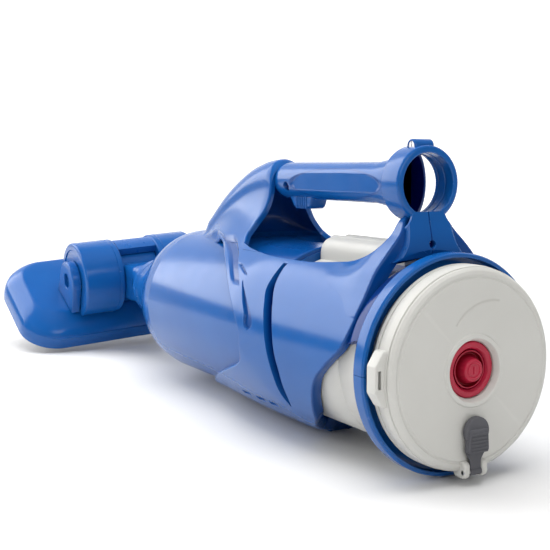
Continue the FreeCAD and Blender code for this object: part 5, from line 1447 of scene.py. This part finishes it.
# ---- stage --------------------------------------------------------------------------------------------------
@dataclass(frozen=True)
class Studio:
    """Pale floor, white surroundings, soft lights and the camera.

    Args:
        eye: the camera's place in the body's axes.
        ahead: its viewing direction.
        lens_mm: its focal length on a 36 mm sensor.
    """

    eye: tuple[float, float, float] = (-413.7, -471.75, 128.35)
    ahead: tuple[float, float, float] = (0.49769, 0.86007, -0.11218)
    lens_mm: float = 65.44
    shift: tuple[float, float] = (-0.0083, 0.0039)

    def camera(self, axes: Axes) -> None:
        """Place the camera and make it the scene's."""
        data = bpy.data.cameras.new("camera")
        data.lens, data.sensor_width = self.lens_mm, 36.0
        data.shift_x, data.shift_y = self.shift
        data.clip_start, data.clip_end = 0.01, 100.0
        made = bpy.data.objects.new("camera", data)
        bpy.context.scene.collection.objects.link(made)
        made.location = Vector(axes.place(np.array(self.eye)))
        made.rotation_euler = Vector(self.ahead).to_track_quat("-Z", "Y").to_euler()
        bpy.context.scene.camera = made

    def light(self, name: str, place: tuple, aim: tuple, size: tuple, power: float, glossy: bool = True,
              colour: tuple = (1.0, 1.0, 1.0)) -> None:
        """One rectangular light.

        Args:
            name: its name.
            place: its centre, in metres.
            aim: the point it faces, in metres.
            size: its width and height in metres.
            power: watts.
            glossy: whether it shows in reflections.
            colour: its colour.
        """
        data = bpy.data.lights.new(name, "AREA")
        data.shape, data.size, data.size_y = "RECTANGLE", *size
        data.energy, data.color = power, colour
        made = bpy.data.objects.new(name, data)
        bpy.context.scene.collection.objects.link(made)
        made.location = Vector(place)
        made.rotation_euler = (Vector(aim) - Vector(place)).to_track_quat("-Z", "Y").to_euler()
        made.visible_glossy = glossy

    def world(self) -> None:
        """Surroundings that are white ahead of the camera and grey behind it, by direction."""
        world = bpy.data.worlds.new("studio")
        bpy.context.scene.world = world
        world.use_nodes = True
        nodes, links = world.node_tree.nodes, world.node_tree.links
        nodes.clear()
        where = nodes.new("ShaderNodeTexCoord").outputs["Generated"]
        facing = nodes.new("ShaderNodeVectorMath")
        facing.operation = "DOT_PRODUCT"
        facing.inputs[1].default_value = (0.50, 0.86, 0.0)
        links.new(where, facing.inputs[0])
        ramp = nodes.new("ShaderNodeMapRange")
        ramp.interpolation_type = "SMOOTHSTEP"
        for key, value in (("From Min", 0.35), ("From Max", 0.80), ("To Min", 0.24), ("To Max", 1.05)):
            ramp.inputs[key].default_value = value
        links.new(facing.outputs["Value"], ramp.inputs["Value"])
        back = nodes.new("ShaderNodeBackground")
        back.inputs["Color"].default_value = (1.0, 1.0, 1.0, 1.0)
        links.new(ramp.outputs["Result"], back.inputs["Strength"])
        out = nodes.new("ShaderNodeOutputWorld")
        links.new(back.outputs["Background"], out.inputs["Surface"])

    def floor(self) -> None:
        """Pale floor, 8 m across, that sweeps up into a tall backdrop which glows more the farther it is: painted
        light.
        """
        finish = Finish("pale_floor", Tint.PAPER, Tint.PAPER, 0.85, 0.05, 2.0, 0.002, 0.05, 0.0)
        ahead, across = np.array([0.5, 0.866]), np.array([0.866, -0.5])
        paper = finish.material()
        nodes, links = paper.node_tree.nodes, paper.node_tree.links
        distance = nodes.new("ShaderNodeVectorMath")
        distance.operation = "DOT_PRODUCT"
        distance.inputs[1].default_value = (*ahead, 0.0)
        links.new(nodes.new("ShaderNodeTexCoord").outputs["Object"], distance.inputs[0])
        # painted light: a glow that rises with the distance ahead, standing in for lamps on the backdrop
        ramp = nodes.new("ShaderNodeMapRange")
        ramp.interpolation_type = "SMOOTHSTEP"
        for key, value in (("From Min", 0.2), ("From Max", 2.4), ("To Min", 0.0), ("To Max", 0.9)):
            ramp.inputs[key].default_value = value
        links.new(distance.outputs["Value"], ramp.inputs["Value"])
        shader = [n for n in nodes if n.type == "BSDF_PRINCIPLED"][0]
        links.new(ramp.outputs["Result"], shader.inputs["Emission Strength"])
        mesh = bpy.data.meshes.new("floor")
        half, back, sweep = 4.0, 2.2, 1.2
        turn = np.linspace(0, math.pi / 2, 25)
        side = [(-half, 0.0)] + [(back + sweep * math.sin(t), sweep * (1 - math.cos(t))) for t in turn]
        side.append((back + sweep, 5.0))
        points = [(*(ahead * s + across * w), h) for s, h in side for w in (-half, half)]
        faces = [(2 * i, 2 * i + 1, 2 * i + 3, 2 * i + 2) for i in range(len(side) - 1)]
        mesh.from_pydata(points, [], faces)
        mesh.shade_smooth()
        mesh.materials.append(paper)
        made = bpy.data.objects.new("floor", mesh)
        bpy.context.scene.collection.objects.link(made)
        made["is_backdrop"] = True

    def make(self, axes: Axes) -> None:
        """Set the stage."""
        self.camera(axes)
        self.world()
        self.floor()
        self.light("overhead", (0.0, -0.1, 2.2), (0.0, -0.1, 0.0), (2.4, 2.4), 62.0, glossy=False)
        self.light("side_box", (-0.80, 0.88, 0.87), (-0.07, -0.15, 0.10), (1.2, 1.3), 18.0)
        self.light("left_fill", (-1.6, -0.4, 0.8), (0.0, -0.05, 0.10), (0.9, 0.9), 6.0, glossy=False)
        self.light("rear_box", (-0.1, -1.9, 0.9), (0.0, -0.2, 0.10), (1.4, 0.8), 8.0)
        view = bpy.context.scene.view_settings
        view.view_transform, view.look, view.exposure, view.gamma = "Standard", "None", 0.0, 1.0


def record_size(when: str, sizes: dict) -> None:
    """Note the whole object's box under a heading."""
    low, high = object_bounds()
    sizes[when] = [list(low), list(high)]


def main() -> None:
    """Build every piece in order, light it and finish."""
    logging.basicConfig(level=logging.INFO, format="%(name)s: %(message)s")
    sizes: dict = {}
    record_size("loaded", sizes)
    axes = Axes.found()
    dress_packed_nodes()
    Studio().make(axes)
    for maker in MAKERS:
        maker().make(axes)
    record_size("finished", sizes)


MAKERS = (BodyShell, RearEnd, PowerButton, ChargePlug, PoleMount, Grip, Nose, Neck, SuctionHead)

if __name__ == "__main__":
    main()
